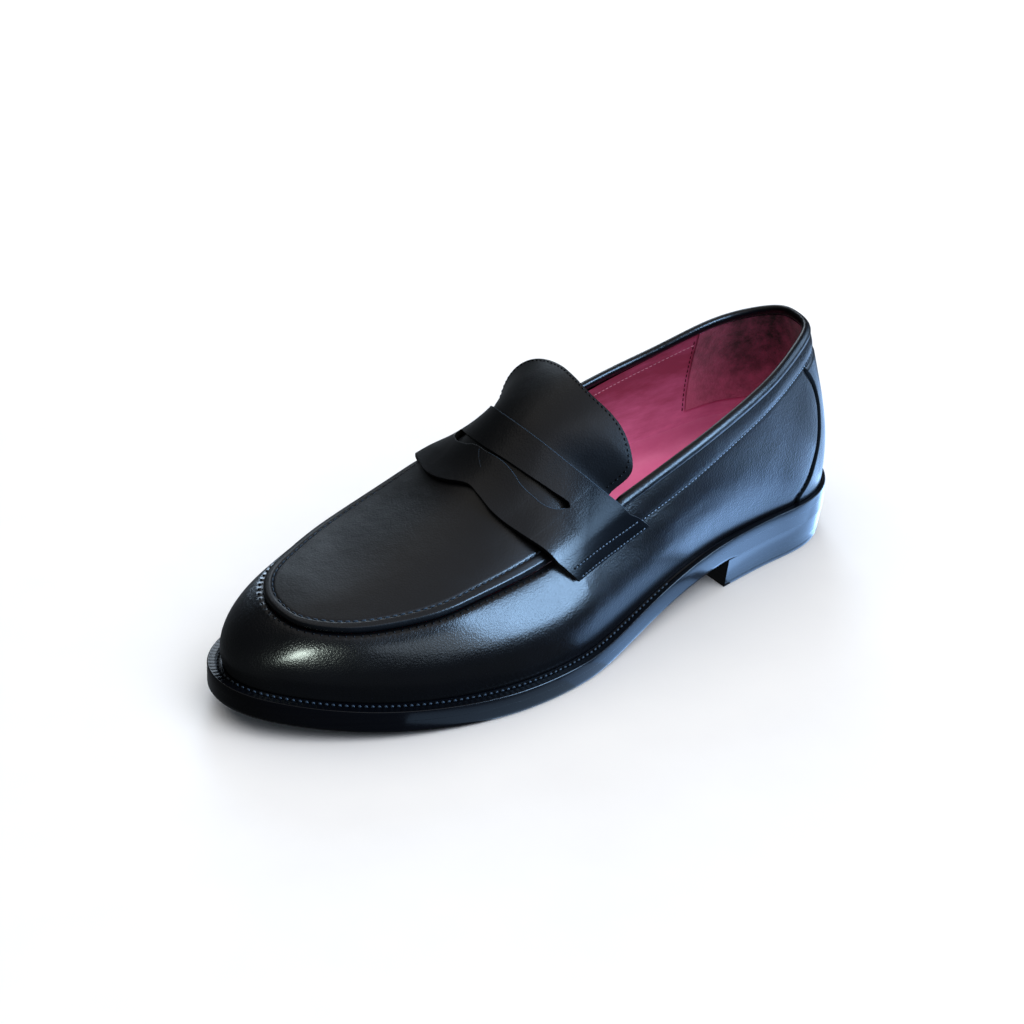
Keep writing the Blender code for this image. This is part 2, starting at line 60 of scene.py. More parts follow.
SHOE_LENGTH = 300.0
HEEL_SEAT_Z = 14.0
TOE_SPRING = 10.1
SPRING_START_X = 193.0
FLAT_START_X = 167.0
BREAST_X = 76.0
OUTSOLE_THICK = 5.6
WELT_THICK = 4.0
JOINT_GAP = 0.3
TOP_LIFT_THICK = 5.0
UPPER_WALL = 2.2
APRON_STEP = 1.5
APRON_STEP_IN = 0.5
STEP_START = 1.2
STEP_RUN = 0.6
STRAP_THICK = 1.8
TONGUE_THICK = 1.8
INSOLE_RISE = 2.4
FEATHER_RISE = OUTSOLE_THICK + WELT_THICK + 2 * JOINT_GAP
SWELL_HEIGHT = 0.40

# Stations round the shoe, from the heel's back along the outer side to the toe and home.
# out: outline of the sole. ledge: welt outside the upper. rim: top edge of the wall.
# foot: swell low down. shoulder, drop: how the wall meets the rim.
# Columns: out x and y, ledge, rim x, y and z, foot, shoulder, drop.
STATIONS = (
    (0.0, -7.0, 2.4, 10.0, -9.0, 88.5, 1.5, 8.0, 0.45),
    (6.5, 13.0, 2.4, 14.5, 2.0, 88.3, 1.5, 8.0, 0.45),
    (22.0, 24.6, 2.4, 27.5, 11.0, 87.2, 1.5, 8.0, 0.45),
    (45.0, 28.0, 2.6, 48.0, 20.8, 84.8, 2.0, 6.0, 0.45),
    (76.0, 31.6, 3.0, 74.0, 27.0, 79.6, 2.5, 5.0, 0.45),
    (110.0, 37.2, 3.4, 106.0, 30.8, 71.6, 2.5, 5.0, 0.45),
    (138.0, 44.4, 4.2, 138.0, 32.2, 61.5, 2.5, 7.0, 0.40),
    (162.0, 51.2, 5.0, 159.0, 34.6, 56.0, 3.0, 9.0, 0.30),
    (183.0, 54.0, 5.4, 178.0, 37.0, 50.4, 3.0, 9.5, 0.25),
    (206.0, 53.2, 6.0, 209.0, 38.8, 47.8, 3.2, 9.0, 0.22),
    (229.0, 48.6, 6.2, 230.0, 38.2, 46.2, 3.4, 8.0, 0.22),
    (250.0, 41.5, 6.2, 248.0, 33.4, 45.3, 3.4, 8.0, 0.22),
    (270.0, 31.2, 6.2, 263.0, 27.2, 45.5, 3.4, 8.0, 0.22),
    (286.5, 19.0, 6.2, 274.0, 18.0, 46.0, 3.4, 8.5, 0.22),
    (297.0, 6.5, 6.2, 278.6, 8.0, 46.5, 3.6, 9.0, 0.22),
    (300.0, -5.0, 6.2, 278.8, -3.0, 47.0, 4.0, 9.5, 0.22),
    (297.0, -17.0, 6.0, 275.5, -12.0, 47.6, 4.4, 9.5, 0.22),
    (287.0, -28.5, 5.6, 269.0, -19.5, 48.1, 4.5, 9.0, 0.22),
    (270.0, -38.8, 5.6, 257.0, -26.0, 48.9, 4.2, 8.5, 0.22),
    (248.0, -46.5, 5.6, 240.0, -32.0, 50.5, 3.6, 8.5, 0.22),
    (222.0, -50.6, 5.6, 219.0, -36.5, 53.0, 3.0, 8.0, 0.25),
    (198.0, -49.2, 5.6, 198.0, -38.7, 57.2, 3.0, 7.0, 0.28),
    (175.0, -45.0, 5.0, 180.0, -40.3, 60.5, 3.0, 5.0, 0.32),
    (155.0, -40.5, 4.4, 162.0, -39.5, 62.5, 2.5, 4.0, 0.40),
    (133.0, -37.2, 3.6, 142.0, -37.6, 62.1, 2.5, 3.5, 0.45),
    (107.0, -37.0, 3.2, 110.0, -37.2, 68.4, 2.0, 3.5, 0.45),
    (75.0, -39.2, 3.0, 74.0, -37.6, 74.9, 2.0, 4.0, 0.45),
    (45.0, -40.2, 2.6, 45.0, -33.9, 81.9, 2.0, 6.0, 0.45),
    (22.0, -37.6, 2.4, 25.0, -30.5, 84.6, 1.5, 8.0, 0.45),
    (6.5, -26.5, 2.4, 12.0, -21.0, 87.5, 1.5, 8.0, 0.45),
)
COUNT = len(STATIONS)
LEDGE = 2
RIM = slice(3, 6)
FOOT = slice(6, 7)
SHOULDER = slice(7, 8)
DROP = slice(8, 9)
THROAT = 6
TOE_TIP = 15
APRON_SPAN = TOE_TIP - THROAT

# Ridge of the apron from the throat to the toe, one row per pair of stations.
# Columns: x, y, z, power of the fall on the outer side and on the inner side, power of the sweep.
RIDGE = (
    (162.5, -5.0, 90.0, 2.5, 3.0, 2.6),
    (174.5, -4.0, 79.5, 2.4, 2.8, 2.4),
    (187.5, -3.0, 70.0, 2.2, 2.4, 2.0),
    (207.0, -3.0, 62.2, 2.0, 2.1, 1.6),
    (225.0, -3.0, 57.6, 2.0, 2.0, 1.4),
    (240.0, -3.0, 54.4, 2.0, 2.0, 1.2),
    (250.0, -3.0, 52.7, 1.9, 1.9, 1.1),
    (257.0, -3.0, 51.6, 1.7, 1.7, 1.0),
    (261.0, -3.0, 51.0, 1.4, 1.4, 1.0),
    (263.0, -3.0, 50.7, 1.15, 1.15, 1.0),
)

# Tip of the tongue: outer corner, crest and inner corner, and how round it is between them.
TIP_OUTER = (126.0, 28.0, 82.0)
TIP_CREST = (136.0, -5.0, 103.0)
TIP_INNER = (129.5, -35.5, 96.5)
TIP_POWER = 2.2
TONGUE_TUCK = 0.22
TONGUE_HINGE = 0.05
TONGUE_REACH = 0.93
TONGUE_BOW = 1.5
TONGUE_CORNER = 0.22
TONGUE_OUT = (0.4, 0.0, 0.9)

# Saddle strap: across is 0 at the outer end, 0.2 at the outer rim, 0.5 on the ridge, 1 at the inner end.
# back, front: its edges as places along the apron.
STRAP = (
    (0.00, -0.34, 1.50),
    (0.10, -0.16, 1.74),
    (0.20, 0.07, 1.93),
    (0.28, 0.09, 2.08),
    (0.37, 0.10, 2.15),
    (0.43, 0.11, 2.08),
    (0.48, 0.11, 2.03),
    (0.52, 0.11, 2.12),
    (0.56, 0.11, 2.24),
    (0.65, 0.10, 2.36),
    (0.72, 0.09, 2.32),
    (0.80, 0.07, 2.16),
    (0.90, -0.16, 1.95),
    (1.00, -0.34, 1.70),
)
STRAP_END_DROP = 0.72
RIM_ACROSS = 0.2

# Slot in the strap, in the strap's columns: its two long edges; the first and last rows close it.
SLOT = (
    (0.252, 0.86, 0.86),
    (0.256, 0.80, 0.93),
    (0.266, 0.79, 1.07),
    (0.285, 0.82, 1.20),
    (0.320, 0.87, 1.24),
    (0.360, 0.93, 1.22),
    (0.390, 0.96, 1.13),
    (0.430, 0.99, 1.07),
    (0.500, 1.03, 1.10),
    (0.570, 1.04, 1.13),
    (0.610, 1.04, 1.25),
    (0.650, 1.03, 1.30),
    (0.690, 1.00, 1.27),
    (0.725, 0.96, 1.15),
    (0.735, 0.95, 1.03),
    (0.739, 0.98, 0.98),
)

# Back stay: heights up the wall, and its half width there in stations.
STAY = (
    (0.03, 2.50),
    (0.10, 2.28),
    (0.23, 2.06),
    (0.37, 1.82),
    (0.50, 1.66),
    (0.65, 1.55),
    (0.78, 1.64),
    (0.90, 1.95),
)

# Stitch row under the topline: stations from the back to the strap, and its height up the wall there.
COLLAR = (
    (0.0, 0.915),
    (1.2, 0.914),
    (2.26, 0.912),
    (3.11, 0.897),
    (4.33, 0.842),
    (4.88, 0.812),
    (5.65, 0.805),
    (6.4, 0.800),
)

# Soft creases on the walls: station and height of the middle, half length and half width in mm,
# tilt from the sole line in degrees, and depth in mm, negative for a ridge.
CREASES = (
    (5.55, 0.52, 16.0, 4.5, 24.0, 0.30),
    (5.15, 0.62, 14.0, 4.0, 30.0, -0.22),
    (4.70, 0.50, 13.0, 4.5, 18.0, 0.22),
    (6.60, 0.50, 11.0, 4.0, 48.0, 0.25),
    (7.20, 0.58, 10.0, 3.2, 62.0, -0.18),
    (3.70, 0.66, 12.0, 5.0, 10.0, 0.16),
    (24.60, 0.55, 16.0, 4.5, -22.0, 0.28),
    (23.40, 0.50, 12.0, 4.0, -46.0, 0.24),
    (25.60, 0.48, 14.0, 4.5, -16.0, -0.20),
)


def closed_spline(knots, total, rows):
    """Periodic cubic through rows at knots; returns a function of the knot value."""
    n = len(rows)
    rows = np.asarray(rows, float).reshape(n, -1)
    h = np.append(knots[1:], total) - knots
    slope = (np.roll(rows, -1, axis=0) - rows) / h[:, None]
    system = np.zeros((n, n))
    right = np.zeros_like(rows)
    for i in range(n):
        before = (i - 1) % n
        after = (i + 1) % n
        system[i, before] += h[before]
        system[i, i] += 2 * (h[before] + h[i])
        system[i, after] += h[i]
        right[i] = 6 * (slope[i] - slope[before])
    bend = np.linalg.solve(system, right)

    def value(t):
        t = np.atleast_1d(t) % total
        i = np.clip(np.searchsorted(knots, t, side="right") - 1, 0, n - 1)
        j = (i + 1) % n
        a = ((t - knots[i]) / h[i])[:, None]
        b = 1 - a
        hh = (h[i] ** 2 / 6)[:, None]
        return b * rows[i] + a * rows[j] + hh * ((b ** 3 - b) * bend[i] + (a ** 3 - a) * bend[j])

    return value


def open_spline(places, rows):
    """Smooth curve through rows, with slopes from the neighbours; a function of place."""
    places = np.asarray(places, float)
    rows = np.asarray(rows, float).reshape(len(places), -1)
    slope = np.gradient(rows, places, axis=0)

    def value(t):
        t = np.clip(np.atleast_1d(np.asarray(t, float)), places[0], places[-1])
        i = np.clip(np.searchsorted(places, t, side="right") - 1, 0, len(places) - 2)
        h = (places[i + 1] - places[i])[:, None]
        a = ((t - places[i]) / h[:, 0])[:, None]
        start = (1 + 2 * a) * (1 - a) ** 2 * rows[i] + a * (1 - a) ** 2 * h * slope[i]
        return start + a * a * (3 - 2 * a) * rows[i + 1] + a * a * (a - 1) * h * slope[i + 1]

    return value


def table_curve(table):
    """Smooth function of a table's first column."""
    return open_spline([row[0] for row in table], [row[1:] for row in table])


TABLE = np.array(STATIONS)
OUTLINE_STEPS = np.linalg.norm(np.roll(TABLE[:, :2], -1, axis=0) - TABLE[:, :2], axis=1)
KNOTS = np.append(0.0, np.cumsum(OUTLINE_STEPS)[:-1])
STATION_CURVE = closed_spline(KNOTS, OUTLINE_STEPS.sum(), TABLE)
RIDGE_CURVE = open_spline(range(len(RIDGE)), RIDGE)
STRAP_EDGE = table_curve(STRAP)
STAY_EDGE = table_curve(STAY)
COLLAR_HEIGHT = table_curve(COLLAR)


def distance_at(u):
    """Station number to distance round the outline."""
    u = np.atleast_1d(np.asarray(u, float))
    whole = np.floor(u)
    i = whole.astype(int) % COUNT
    return KNOTS[i] + (u - whole) * OUTLINE_STEPS[i]


def station(u):
    """All table columns at station u, smooth between rows."""
    return STATION_CURVE(distance_at(u))


def outward(u):
    """Level direction out of the shoe at station u."""
    d = distance_at(u)
    along = STATION_CURVE(d + 0.5)[:, :2] - STATION_CURVE(d - 0.5)[:, :2]
    out = np.stack([-along[:, 1], along[:, 0]], axis=1)
    return out / np.linalg.norm(out, axis=1)[:, None]


def sole_bottom(x):
    """Height of the outsole's underside along the foot: heel seat, arch, flat, toe spring."""
    x = np.asarray(x, float)
    rise = np.clip((FLAT_START_X - x) / (FLAT_START_X - BREAST_X + 6), 0, 1)
    arch = HEEL_SEAT_Z * rise ** 2 * (3 - 2 * rise)
    spring = TOE_SPRING * (np.clip(x - SPRING_START_X, 0, None) / (SHOE_LENGTH - SPRING_START_X)) ** 2
    return arch + spring


def inset(u, by):
    """Outline moved in by a distance, level."""
    return station(u)[:, :2] - outward(u) * np.reshape(by, (-1, 1))


def raised(flat, lift):
    """Level outline laid on the sole's curve and lifted."""
    return np.column_stack([flat, sole_bottom(flat[:, 0]) + lift])


def round_the_shoe(columns):
    """Even places in stations once round the shoe."""
    return np.arange(columns) * COUNT / columns


def ringed(u, rows):
    """Points of rings round the sole; each row is a distance in from the outline and a lift."""
    return np.concatenate([raised(inset(u, by), lift) for by, lift in rows])


def wall(u, v):
    """Outer face of the upper's wall: v is 0 at the welt and 1 at the rim."""
    u = np.atleast_1d(np.asarray(u, float))
    v = np.broadcast_to(np.asarray(v, float), u.shape)[:, None]
    row = station(u)
    out = np.column_stack([outward(u), np.zeros(len(u))])
    base = raised(inset(u, row[:, LEDGE]), FEATHER_RISE)
    rim = row[:, RIM]
    tall = (rim[:, 2] - base[:, 2])[:, None]
    low = base + out * row[:, FOOT] + UP * tall * SWELL_HEIGHT
    high = rim + out * row[:, SHOULDER] - UP * tall * row[:, DROP]
    w = 1 - v
    return w ** 3 * base + 3 * w * w * v * low + 3 * w * v * v * high + v ** 3 * rim


def apron_edge(k, side):
    """Raised edge of the apron above the rim, k stations forward of the throat."""
    k = np.atleast_1d(np.asarray(k, float))
    u = THROAT + k if side > 0 else COUNT - THROAT - k
    lift = np.clip((k - STEP_START) / STEP_RUN, 0, 1)[:, None]
    edge = station(u)[:, RIM]
    toward = RIDGE_CURVE(k)[:, :3] - edge
    toward[:, 2] = 0
    toward /= np.linalg.norm(toward, axis=1)[:, None]
    return edge + lift * (toward * APRON_STEP_IN + UP * APRON_STEP)


def apron(k, r, side):
    """Top face of the apron: r is 0 on the ridge and 1 at the seam."""
    k = np.atleast_1d(np.asarray(k, float))
    r = np.broadcast_to(np.asarray(r, float), k.shape)
    row = RIDGE_CURVE(k)
    edge = apron_edge(k, side)
    power = row[:, 3] if side > 0 else row[:, 4]
    share = np.column_stack([r ** row[:, 5], r, r ** power])
    return row[:, :3] + (edge - row[:, :3]) * share


def instep(across, k):
    """Outer face over the instep, from the outer wall over the apron to the inner wall."""
    across = np.atleast_1d(np.asarray(across, float))
    k = np.broadcast_to(np.asarray(k, float), across.shape)
    points = np.zeros((len(across), 3))
    for side, mirrored in ((1, across), (-1, 1 - across)):
        mine = mirrored <= 0.5 if side > 0 else mirrored < 0.5
        on_wall = mine & (mirrored < RIM_ACROSS - 0.0001)
        on_apron = mine & ~on_wall
        if on_wall.any():
            u = THROAT + k[on_wall] if side > 0 else COUNT - THROAT - k[on_wall]
            v = STRAP_END_DROP + (1 - STRAP_END_DROP) * mirrored[on_wall] / RIM_ACROSS
            points[on_wall] = wall(u, v)
        if on_apron.any():
            r = np.clip((0.5 - mirrored[on_apron]) / (0.5 - RIM_ACROSS), 0, 1)
            points[on_apron] = apron(np.maximum(k[on_apron], 0.0), r, side)
    return points


def tongue_face(t, r):
    """Top face of the tongue: t is -1 under the strap and 1 at the tip; r runs across it."""
    t = np.atleast_1d(np.asarray(t, float))
    r = np.broadcast_to(np.asarray(r, float), t.shape)
    s = np.abs(r)
    k = TONGUE_HINGE + (TONGUE_TUCK - TONGUE_HINGE) * np.clip(-t, 0, 1)
    base = np.where((r > 0)[:, None], apron(k, s * TONGUE_REACH, 1), apron(k, s * TONGUE_REACH, -1))
    out = (np.clip(t, 0, 1) * (1 - TONGUE_CORNER * s ** 5))[:, None]
    crest = np.array([TIP_CREST])
    edge = np.where((r > 0)[:, None], [TIP_OUTER], [TIP_INNER])
    tip = crest + (edge - crest) * np.column_stack([s ** TIP_POWER, s, s ** TIP_POWER])
    bow = TONGUE_BOW * 4 * out * (1 - out) * np.array([TONGUE_OUT])
    return base + (tip - base) * out + bow


SPREAD = station(np.linspace(0, COUNT, 1200, endpoint=False))
CENTRE_X = 0.5 * (SPREAD[:, 0].min() + SPREAD[:, 0].max())
CENTRE_Y = 0.5 * (SPREAD[:, 1].min() + SPREAD[:, 1].max())


def to_scene(points):
    """Table millimetres to metres about the origin of the part."""
    return (np.asarray(points, float) - np.array([CENTRE_X, CENTRE_Y, 0.0])) * MM


def smooth_step(low, high, x):
    """Soft step from 0 at low to 1 at high."""
    t = np.clip((x - low) / (high - low), 0, 1)
    return t * t * (3 - 2 * t)


def unit(vectors):
    """Vectors of length one."""
    return vectors / np.maximum(np.linalg.norm(vectors, axis=-1, keepdims=True), 1e-9)


def run_along(path):
    """Distance from the start of a path to each of its points."""
    return np.append(0.0, np.cumsum(np.linalg.norm(np.diff(path, axis=0), axis=1)))


# Top of the heel: how far its leather stands above the solid, the heights where that starts and is full,
# and the places along the foot where it ends and is full.
HEEL_TOP_LIFT = 1.2
LIFT_HEIGHTS = (66.0, 88.0)
LIFT_PLACES = (75.0, 35.0)
# Grid points nearer than this in mm are one point.
WELD = 0.002
# Edges sharper than this in degrees are softened.
CUT_ANGLE = 50.0


def stood_up(points):
    """Leather at the top of the heel stands a touch higher than its solid."""
    points = np.array(points, float)
    share = smooth_step(*LIFT_HEIGHTS, points[:, 2]) * smooth_step(*LIFT_PLACES, points[:, 0])
    points[:, 2] += HEEL_TOP_LIFT * share
    return points


def grid_normals(grid, wrap=False):
    """Normals of a grid whose rows go up and whose columns go round the shoe; they look outward."""
    if wrap:
        round_it = np.roll(grid, -1, axis=1) - np.roll(grid, 1, axis=1)
    else:
        round_it = np.gradient(grid, axis=1)
    return unit(np.cross(np.gradient(grid, axis=0), round_it))


def grid_faces(rows, across, first=0, wrap=False):
    """Quads of a grid stored row by row."""
    faces = []
    for i in range(rows - 1):
        start = first + i * across
        for j in range(across if wrap else across - 1):
            k = (j + 1) % across
            faces.append((start + j, start + k, start + k + across, start + j + across))
    return faces


def add_piece(name, points, faces, finish, nodes=(), weld=0.0):
    """Smooth mesh piece from table points; it rides on the shoe and may stand for CAD nodes."""
    mesh = bpy.data.meshes.new(name)
    mesh.from_pydata(to_scene(stood_up(points)).tolist(), [], faces)
    work = bmesh.new()
    work.from_mesh(mesh)
    if weld:
        bmesh.ops.remove_doubles(work, verts=work.verts, dist=weld * MM)
        bmesh.ops.dissolve_degenerate(work, edges=work.edges, dist=weld * MM * 0.5)
    bmesh.ops.recalc_face_normals(work, faces=work.faces)
    work.to_mesh(mesh)
    work.free()
    mesh.shade_smooth()
    piece = bpy.data.objects.new(name, mesh)
    bpy.context.scene.collection.objects.link(piece)
    mesh.materials.append(finish)
    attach(piece, "root")
    if nodes:
        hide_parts(*nodes)
    return piece


def turn_out(piece, point, direction):
    """Turn all faces of an open sheet so the one nearest a table point looks along direction."""
    mesh = piece.data
    centres = np.zeros(len(mesh.polygons) * 3)
    mesh.polygons.foreach_get("center", centres)
    nearest = np.argmin(np.linalg.norm(centres.reshape(-1, 3) - to_scene([point]), axis=1))
    if mesh.polygons[int(nearest)].normal.dot(Vector(direction)) < 0:
        mesh.flip_normals()


def thicken(piece, thick, offset, edge=0.0, cut=None):
    """Real thickness on an open sheet, and a soft cut edge, bare where cut is given."""
    shell = piece.modifiers.new("thickness", "SOLIDIFY")
    shell.thickness = thick * MM
    shell.offset = offset
    shell.use_even_offset = True
    if cut:
        piece.data.materials.append(cut)
        shell.material_offset_rim = 1
    if edge:
        soft = piece.modifiers.new("soft_edge", "BEVEL")
        soft.width = edge * MM
        soft.segments = 3
        soft.limit_method = "ANGLE"
        soft.angle_limit = np.radians(CUT_ANGLE)
        soft.harden_normals = True


# Materials


def linear(code):
    """sRGB hex to linear red, green, blue and alpha."""
    parts = [int(code[i:i + 2], 16) / 255 for i in (1, 3, 5)]
    return tuple(c / 12.92 if c <= 0.04045 else ((c + 0.055) / 1.055) ** 2.4 for c in parts) + (1.0,)


def per_metre(size_mm):
    """Texture scale that gives features of a size in millimetres."""
    return 1000.0 / size_mm


def add_node(tree, kind, settings=None, links=None):
    """One shader node with its settings and links, by input name or number."""
    node = tree.nodes.new(kind)
    for key, value in (settings or {}).items():
        if isinstance(key, int) or key in node.inputs:
            node.inputs[key].default_value = value
        else:
            setattr(node, key, value)
    for key, source in (links or {}).items():
        tree.links.new(source, node.inputs[key])
    return node


def new_finish(name, settings):
    """Empty Principled material: returns it with its tree, shader and object coordinates."""
    finish = bpy.data.materials.new(name)
    finish.use_nodes = True
    tree = finish.node_tree
    shader = tree.nodes["Principled BSDF"]
    for key, value in settings.items():
        shader.inputs[key].default_value = value
    place = add_node(tree, "ShaderNodeTexCoord").outputs["Object"]
    return finish, tree, shader, place


def feed(tree, shader, channels):
    """Finished channels into the shader, by socket name."""
    for socket, output in channels.items():
        tree.links.new(output, shader.inputs[socket])


def calf_finish(name, deep, pale, rough, rough_spread, grain, wobble, shader_settings):
    """Chrome-tanned calf, dyed through and waxed: tight pores, slow changes of tone and gloss."""
    finish, tree, shader, place = new_finish(name, shader_settings)
    cloud = add_node(tree, "ShaderNodeTexNoise", {"Scale": per_metre(38), "Detail": 3.0}, {"Vector": place})
    tone = add_node(tree, "ShaderNodeMix", {"data_type": "RGBA", 6: linear(deep), 7: linear(pale)},
                    {0: cloud.outputs["Fac"]})
    wax = add_node(tree, "ShaderNodeTexNoise", {"Scale": per_metre(9), "Detail": 4.0}, {"Vector": place})
    gloss = add_node(tree, "ShaderNodeMapRange",
                     {"To Min": rough - rough_spread, "To Max": rough + rough_spread},
                     {"Value": wax.outputs["Fac"]})
    # Pores of calf are about 0.2 mm; they are drawn at 0.8 mm, the finest that shows in the picture.
    pores = add_node(tree, "ShaderNodeTexVoronoi", {"Scale": per_metre(0.8), "feature": "F1"},
                     {"Vector": place})
    skin = add_node(tree, "ShaderNodeTexNoise", {"Scale": per_metre(1.2), "Detail": 5.0, "Roughness": 0.66},
                    {"Vector": place})
    both = add_node(tree, "ShaderNodeMath", {"operation": "ADD"},
                    {0: pores.outputs["Distance"], 1: skin.outputs["Fac"]})
    fine = add_node(tree, "ShaderNodeBump", {"Strength": grain, "Distance": 0.00012},
                    {"Height": both.outputs[0]})
    # Slow wobble of hide stretched on the last: it breaks up the edges of the highlights.
    pull = add_node(tree, "ShaderNodeTexNoise", {"Scale": per_metre(14), "Detail": 2.0}, {"Vector": place})
    bump = add_node(tree, "ShaderNodeBump", {"Strength": wobble, "Distance": 0.0012},
                    {"Height": pull.outputs["Fac"], "Normal": fine.outputs["Normal"]})
    feed(tree, shader, {"Base Color": tone.outputs[2], "Roughness": gloss.outputs["Result"],
                        "Normal": bump.outputs["Normal"]})
    return finish


# Polished calf of the walls: near black, with a wax coat that mirrors the room softly.
POLISHED_CALF = calf_finish("polished_black_calf", "#010101", "#020203", 0.31, 0.06, 0.64, 0.24, {
    "IOR": 1.5, "Specular IOR Level": 0.065, "Coat Weight": 0.085, "Coat Roughness": 0.20, "Coat IOR": 1.45})
# Satin calf of apron and tongue: the same hide brushed, with less wax and a wider sheen.
SATIN_CALF = calf_finish("satin_black_calf", "#020203", "#040506", 0.36, 0.06, 0.24, 0.20, {
    "IOR": 1.5, "Specular IOR Level": 0.11, "Coat Weight": 0.05, "Coat Roughness": 0.28, "Coat IOR": 1.45})
# Brushed calf of the strap: drier than the rest, with a tight bright line only where it bends.
STRAP_CALF = calf_finish("brushed_black_calf", "#020203", "#040506", 0.31, 0.05, 0.34, 0.22, {
    "IOR": 1.5, "Coat Weight": 0.02, "Coat Roughness": 0.28, "Coat IOR": 1.45})


def dry_heel_side(finish):
    """Handling wears the wax off the strap toward the heel, so its bend shines only in front."""
    tree = finish.node_tree
    place = add_node(tree, "ShaderNodeTexCoord").outputs["Object"]
    split = add_node(tree, "ShaderNodeSeparateXYZ", {}, {"Vector": place})
    run = add_node(tree, "ShaderNodeMath", {"operation": "SUBTRACT"},
                   {0: split.outputs["X"], 1: split.outputs["Y"]})
    wax = add_node(tree, "ShaderNodeMapRange",
                   {"From Min": -27 * MM, "From Max": -12 * MM, "To Min": 0.015, "To Max": 0.112},
                   {"Value": run.outputs[0]})
    feed(tree, tree.nodes["Principled BSDF"], {"Specular IOR Level": wax.outputs["Result"]})


dry_heel_side(STRAP_CALF)
# Cut edge of the strap: the same calf, dyed but not waxed, so matt and dead black.
CUT_EDGE = calf_finish("dyed_cut_calf_edge", "#030303", "#060708", 0.5, 0.05, 0.2, 0.1, {
    "IOR": 1.5, "Specular IOR Level": 0.15})
# Inked seam: the sunk edge of the stay, black and without wax, so it reads as a dark line.
SEAM_INK = calf_finish("inked_seam_edge", "#010101", "#020202", 0.7, 0.05, 0.1, 0.1, {
    "IOR": 1.5, "Specular IOR Level": 0.02})


def edge_finish():
    """Leather sole edge, sanded, inked black and burnished with wax: smooth, faint layers along it."""
    finish, tree, shader, place = new_finish("burnished_sole_edge", {
        "IOR": 1.5, "Specular IOR Level": 0.07, "Coat Weight": 0.07, "Coat Roughness": 0.16,
        "Coat IOR": 1.45})
    layers = add_node(tree, "ShaderNodeMapping", {"Scale": (per_metre(60), per_metre(60), per_metre(0.9))},
                      {"Vector": place})
    fibre = add_node(tree, "ShaderNodeTexNoise", {"Scale": 1.0, "Detail": 3.0}, {"Vector": layers.outputs[0]})
    tone = add_node(tree, "ShaderNodeMix", {"data_type": "RGBA", 6: linear("#010102"), 7: linear("#030304")},
                    {0: fibre.outputs["Fac"]})
    gloss = add_node(tree, "ShaderNodeMapRange", {"To Min": 0.20, "To Max": 0.30},
                     {"Value": fibre.outputs["Fac"]})
    bump = add_node(tree, "ShaderNodeBump", {"Strength": 0.10, "Distance": 0.0001},
                    {"Height": fibre.outputs["Fac"]})
    feed(tree, shader, {"Base Color": tone.outputs[2], "Roughness": gloss.outputs["Result"],
                        "Normal": bump.outputs["Normal"]})
    return finish


def lining_finish(name, deep, pale, rough, grain, low, high):
    """Thin burgundy lining leather, drum dyed: soft sheen, darker toward the rim and paler low down."""
    finish, tree, shader, place = new_finish(name, {
        "IOR": 1.45, "Roughness": rough, "Specular IOR Level": 0.3})
    cloud = add_node(tree, "ShaderNodeTexNoise", {"Scale": per_metre(16), "Detail": 4.0}, {"Vector": place})
    split = add_node(tree, "ShaderNodeSeparateXYZ", {}, {"Vector": place})
    # Tone by height alone: darker toward the rim, paler low down.
    height_ramp = add_node(tree, "ShaderNodeMapRange",
                       {"From Min": high * MM, "From Max": low * MM, "To Max": 0.8},
                       {"Value": split.outputs["Z"]})
    share = add_node(tree, "ShaderNodeMath", {"operation": "MULTIPLY_ADD", 1: 0.3},
                     {0: cloud.outputs["Fac"], 2: height_ramp.outputs["Result"]})
    # The foot rubs pale streaks into the dye as it slides in, longer than they are high.
    slide = add_node(tree, "ShaderNodeMapping", {"Scale": (per_metre(26), per_metre(26), per_metre(7))},
                     {"Vector": place})
    streak = add_node(tree, "ShaderNodeTexNoise", {"Scale": 1.0, "Detail": 5.0, "Roughness": 0.62},
                      {"Vector": slide.outputs[0]})
    tone_shift = add_node(tree, "ShaderNodeMapRange",
                      {"From Min": 0.34, "From Max": 0.70, "To Min": -0.30, "To Max": 0.34},
                      {"Value": streak.outputs["Fac"]})
    shaped = add_node(tree, "ShaderNodeMath", {"operation": "ADD"},
                    {0: share.outputs[0], 1: tone_shift.outputs["Result"]})
    tone = add_node(tree, "ShaderNodeMix", {"data_type": "RGBA", 6: linear(deep), 7: linear(pale)},
                    {0: shaped.outputs[0]})
    skin = add_node(tree, "ShaderNodeTexNoise", {"Scale": per_metre(1.6), "Detail": 5.0}, {"Vector": place})
    bump = add_node(tree, "ShaderNodeBump", {"Strength": grain, "Distance": 0.00015},
                    {"Height": skin.outputs["Fac"]})
    feed(tree, shader, {"Base Color": tone.outputs[2], "Normal": bump.outputs["Normal"]})
    return finish


# Lining of the walls and the tongue: deep at the rim, pale pink low down.
LINING_CALF = lining_finish("burgundy_lining_leather", "#98425e", "#d473a0", 0.46, 0.22, 32.0, 66.0)
# Sock under the foot: the same skin, flatter in tone and a little smoother from wear.
SOCK_CALF = lining_finish("burgundy_sock_leather", "#b0527a", "#c4688e", 0.42, 0.16, 5.0, 40.0)


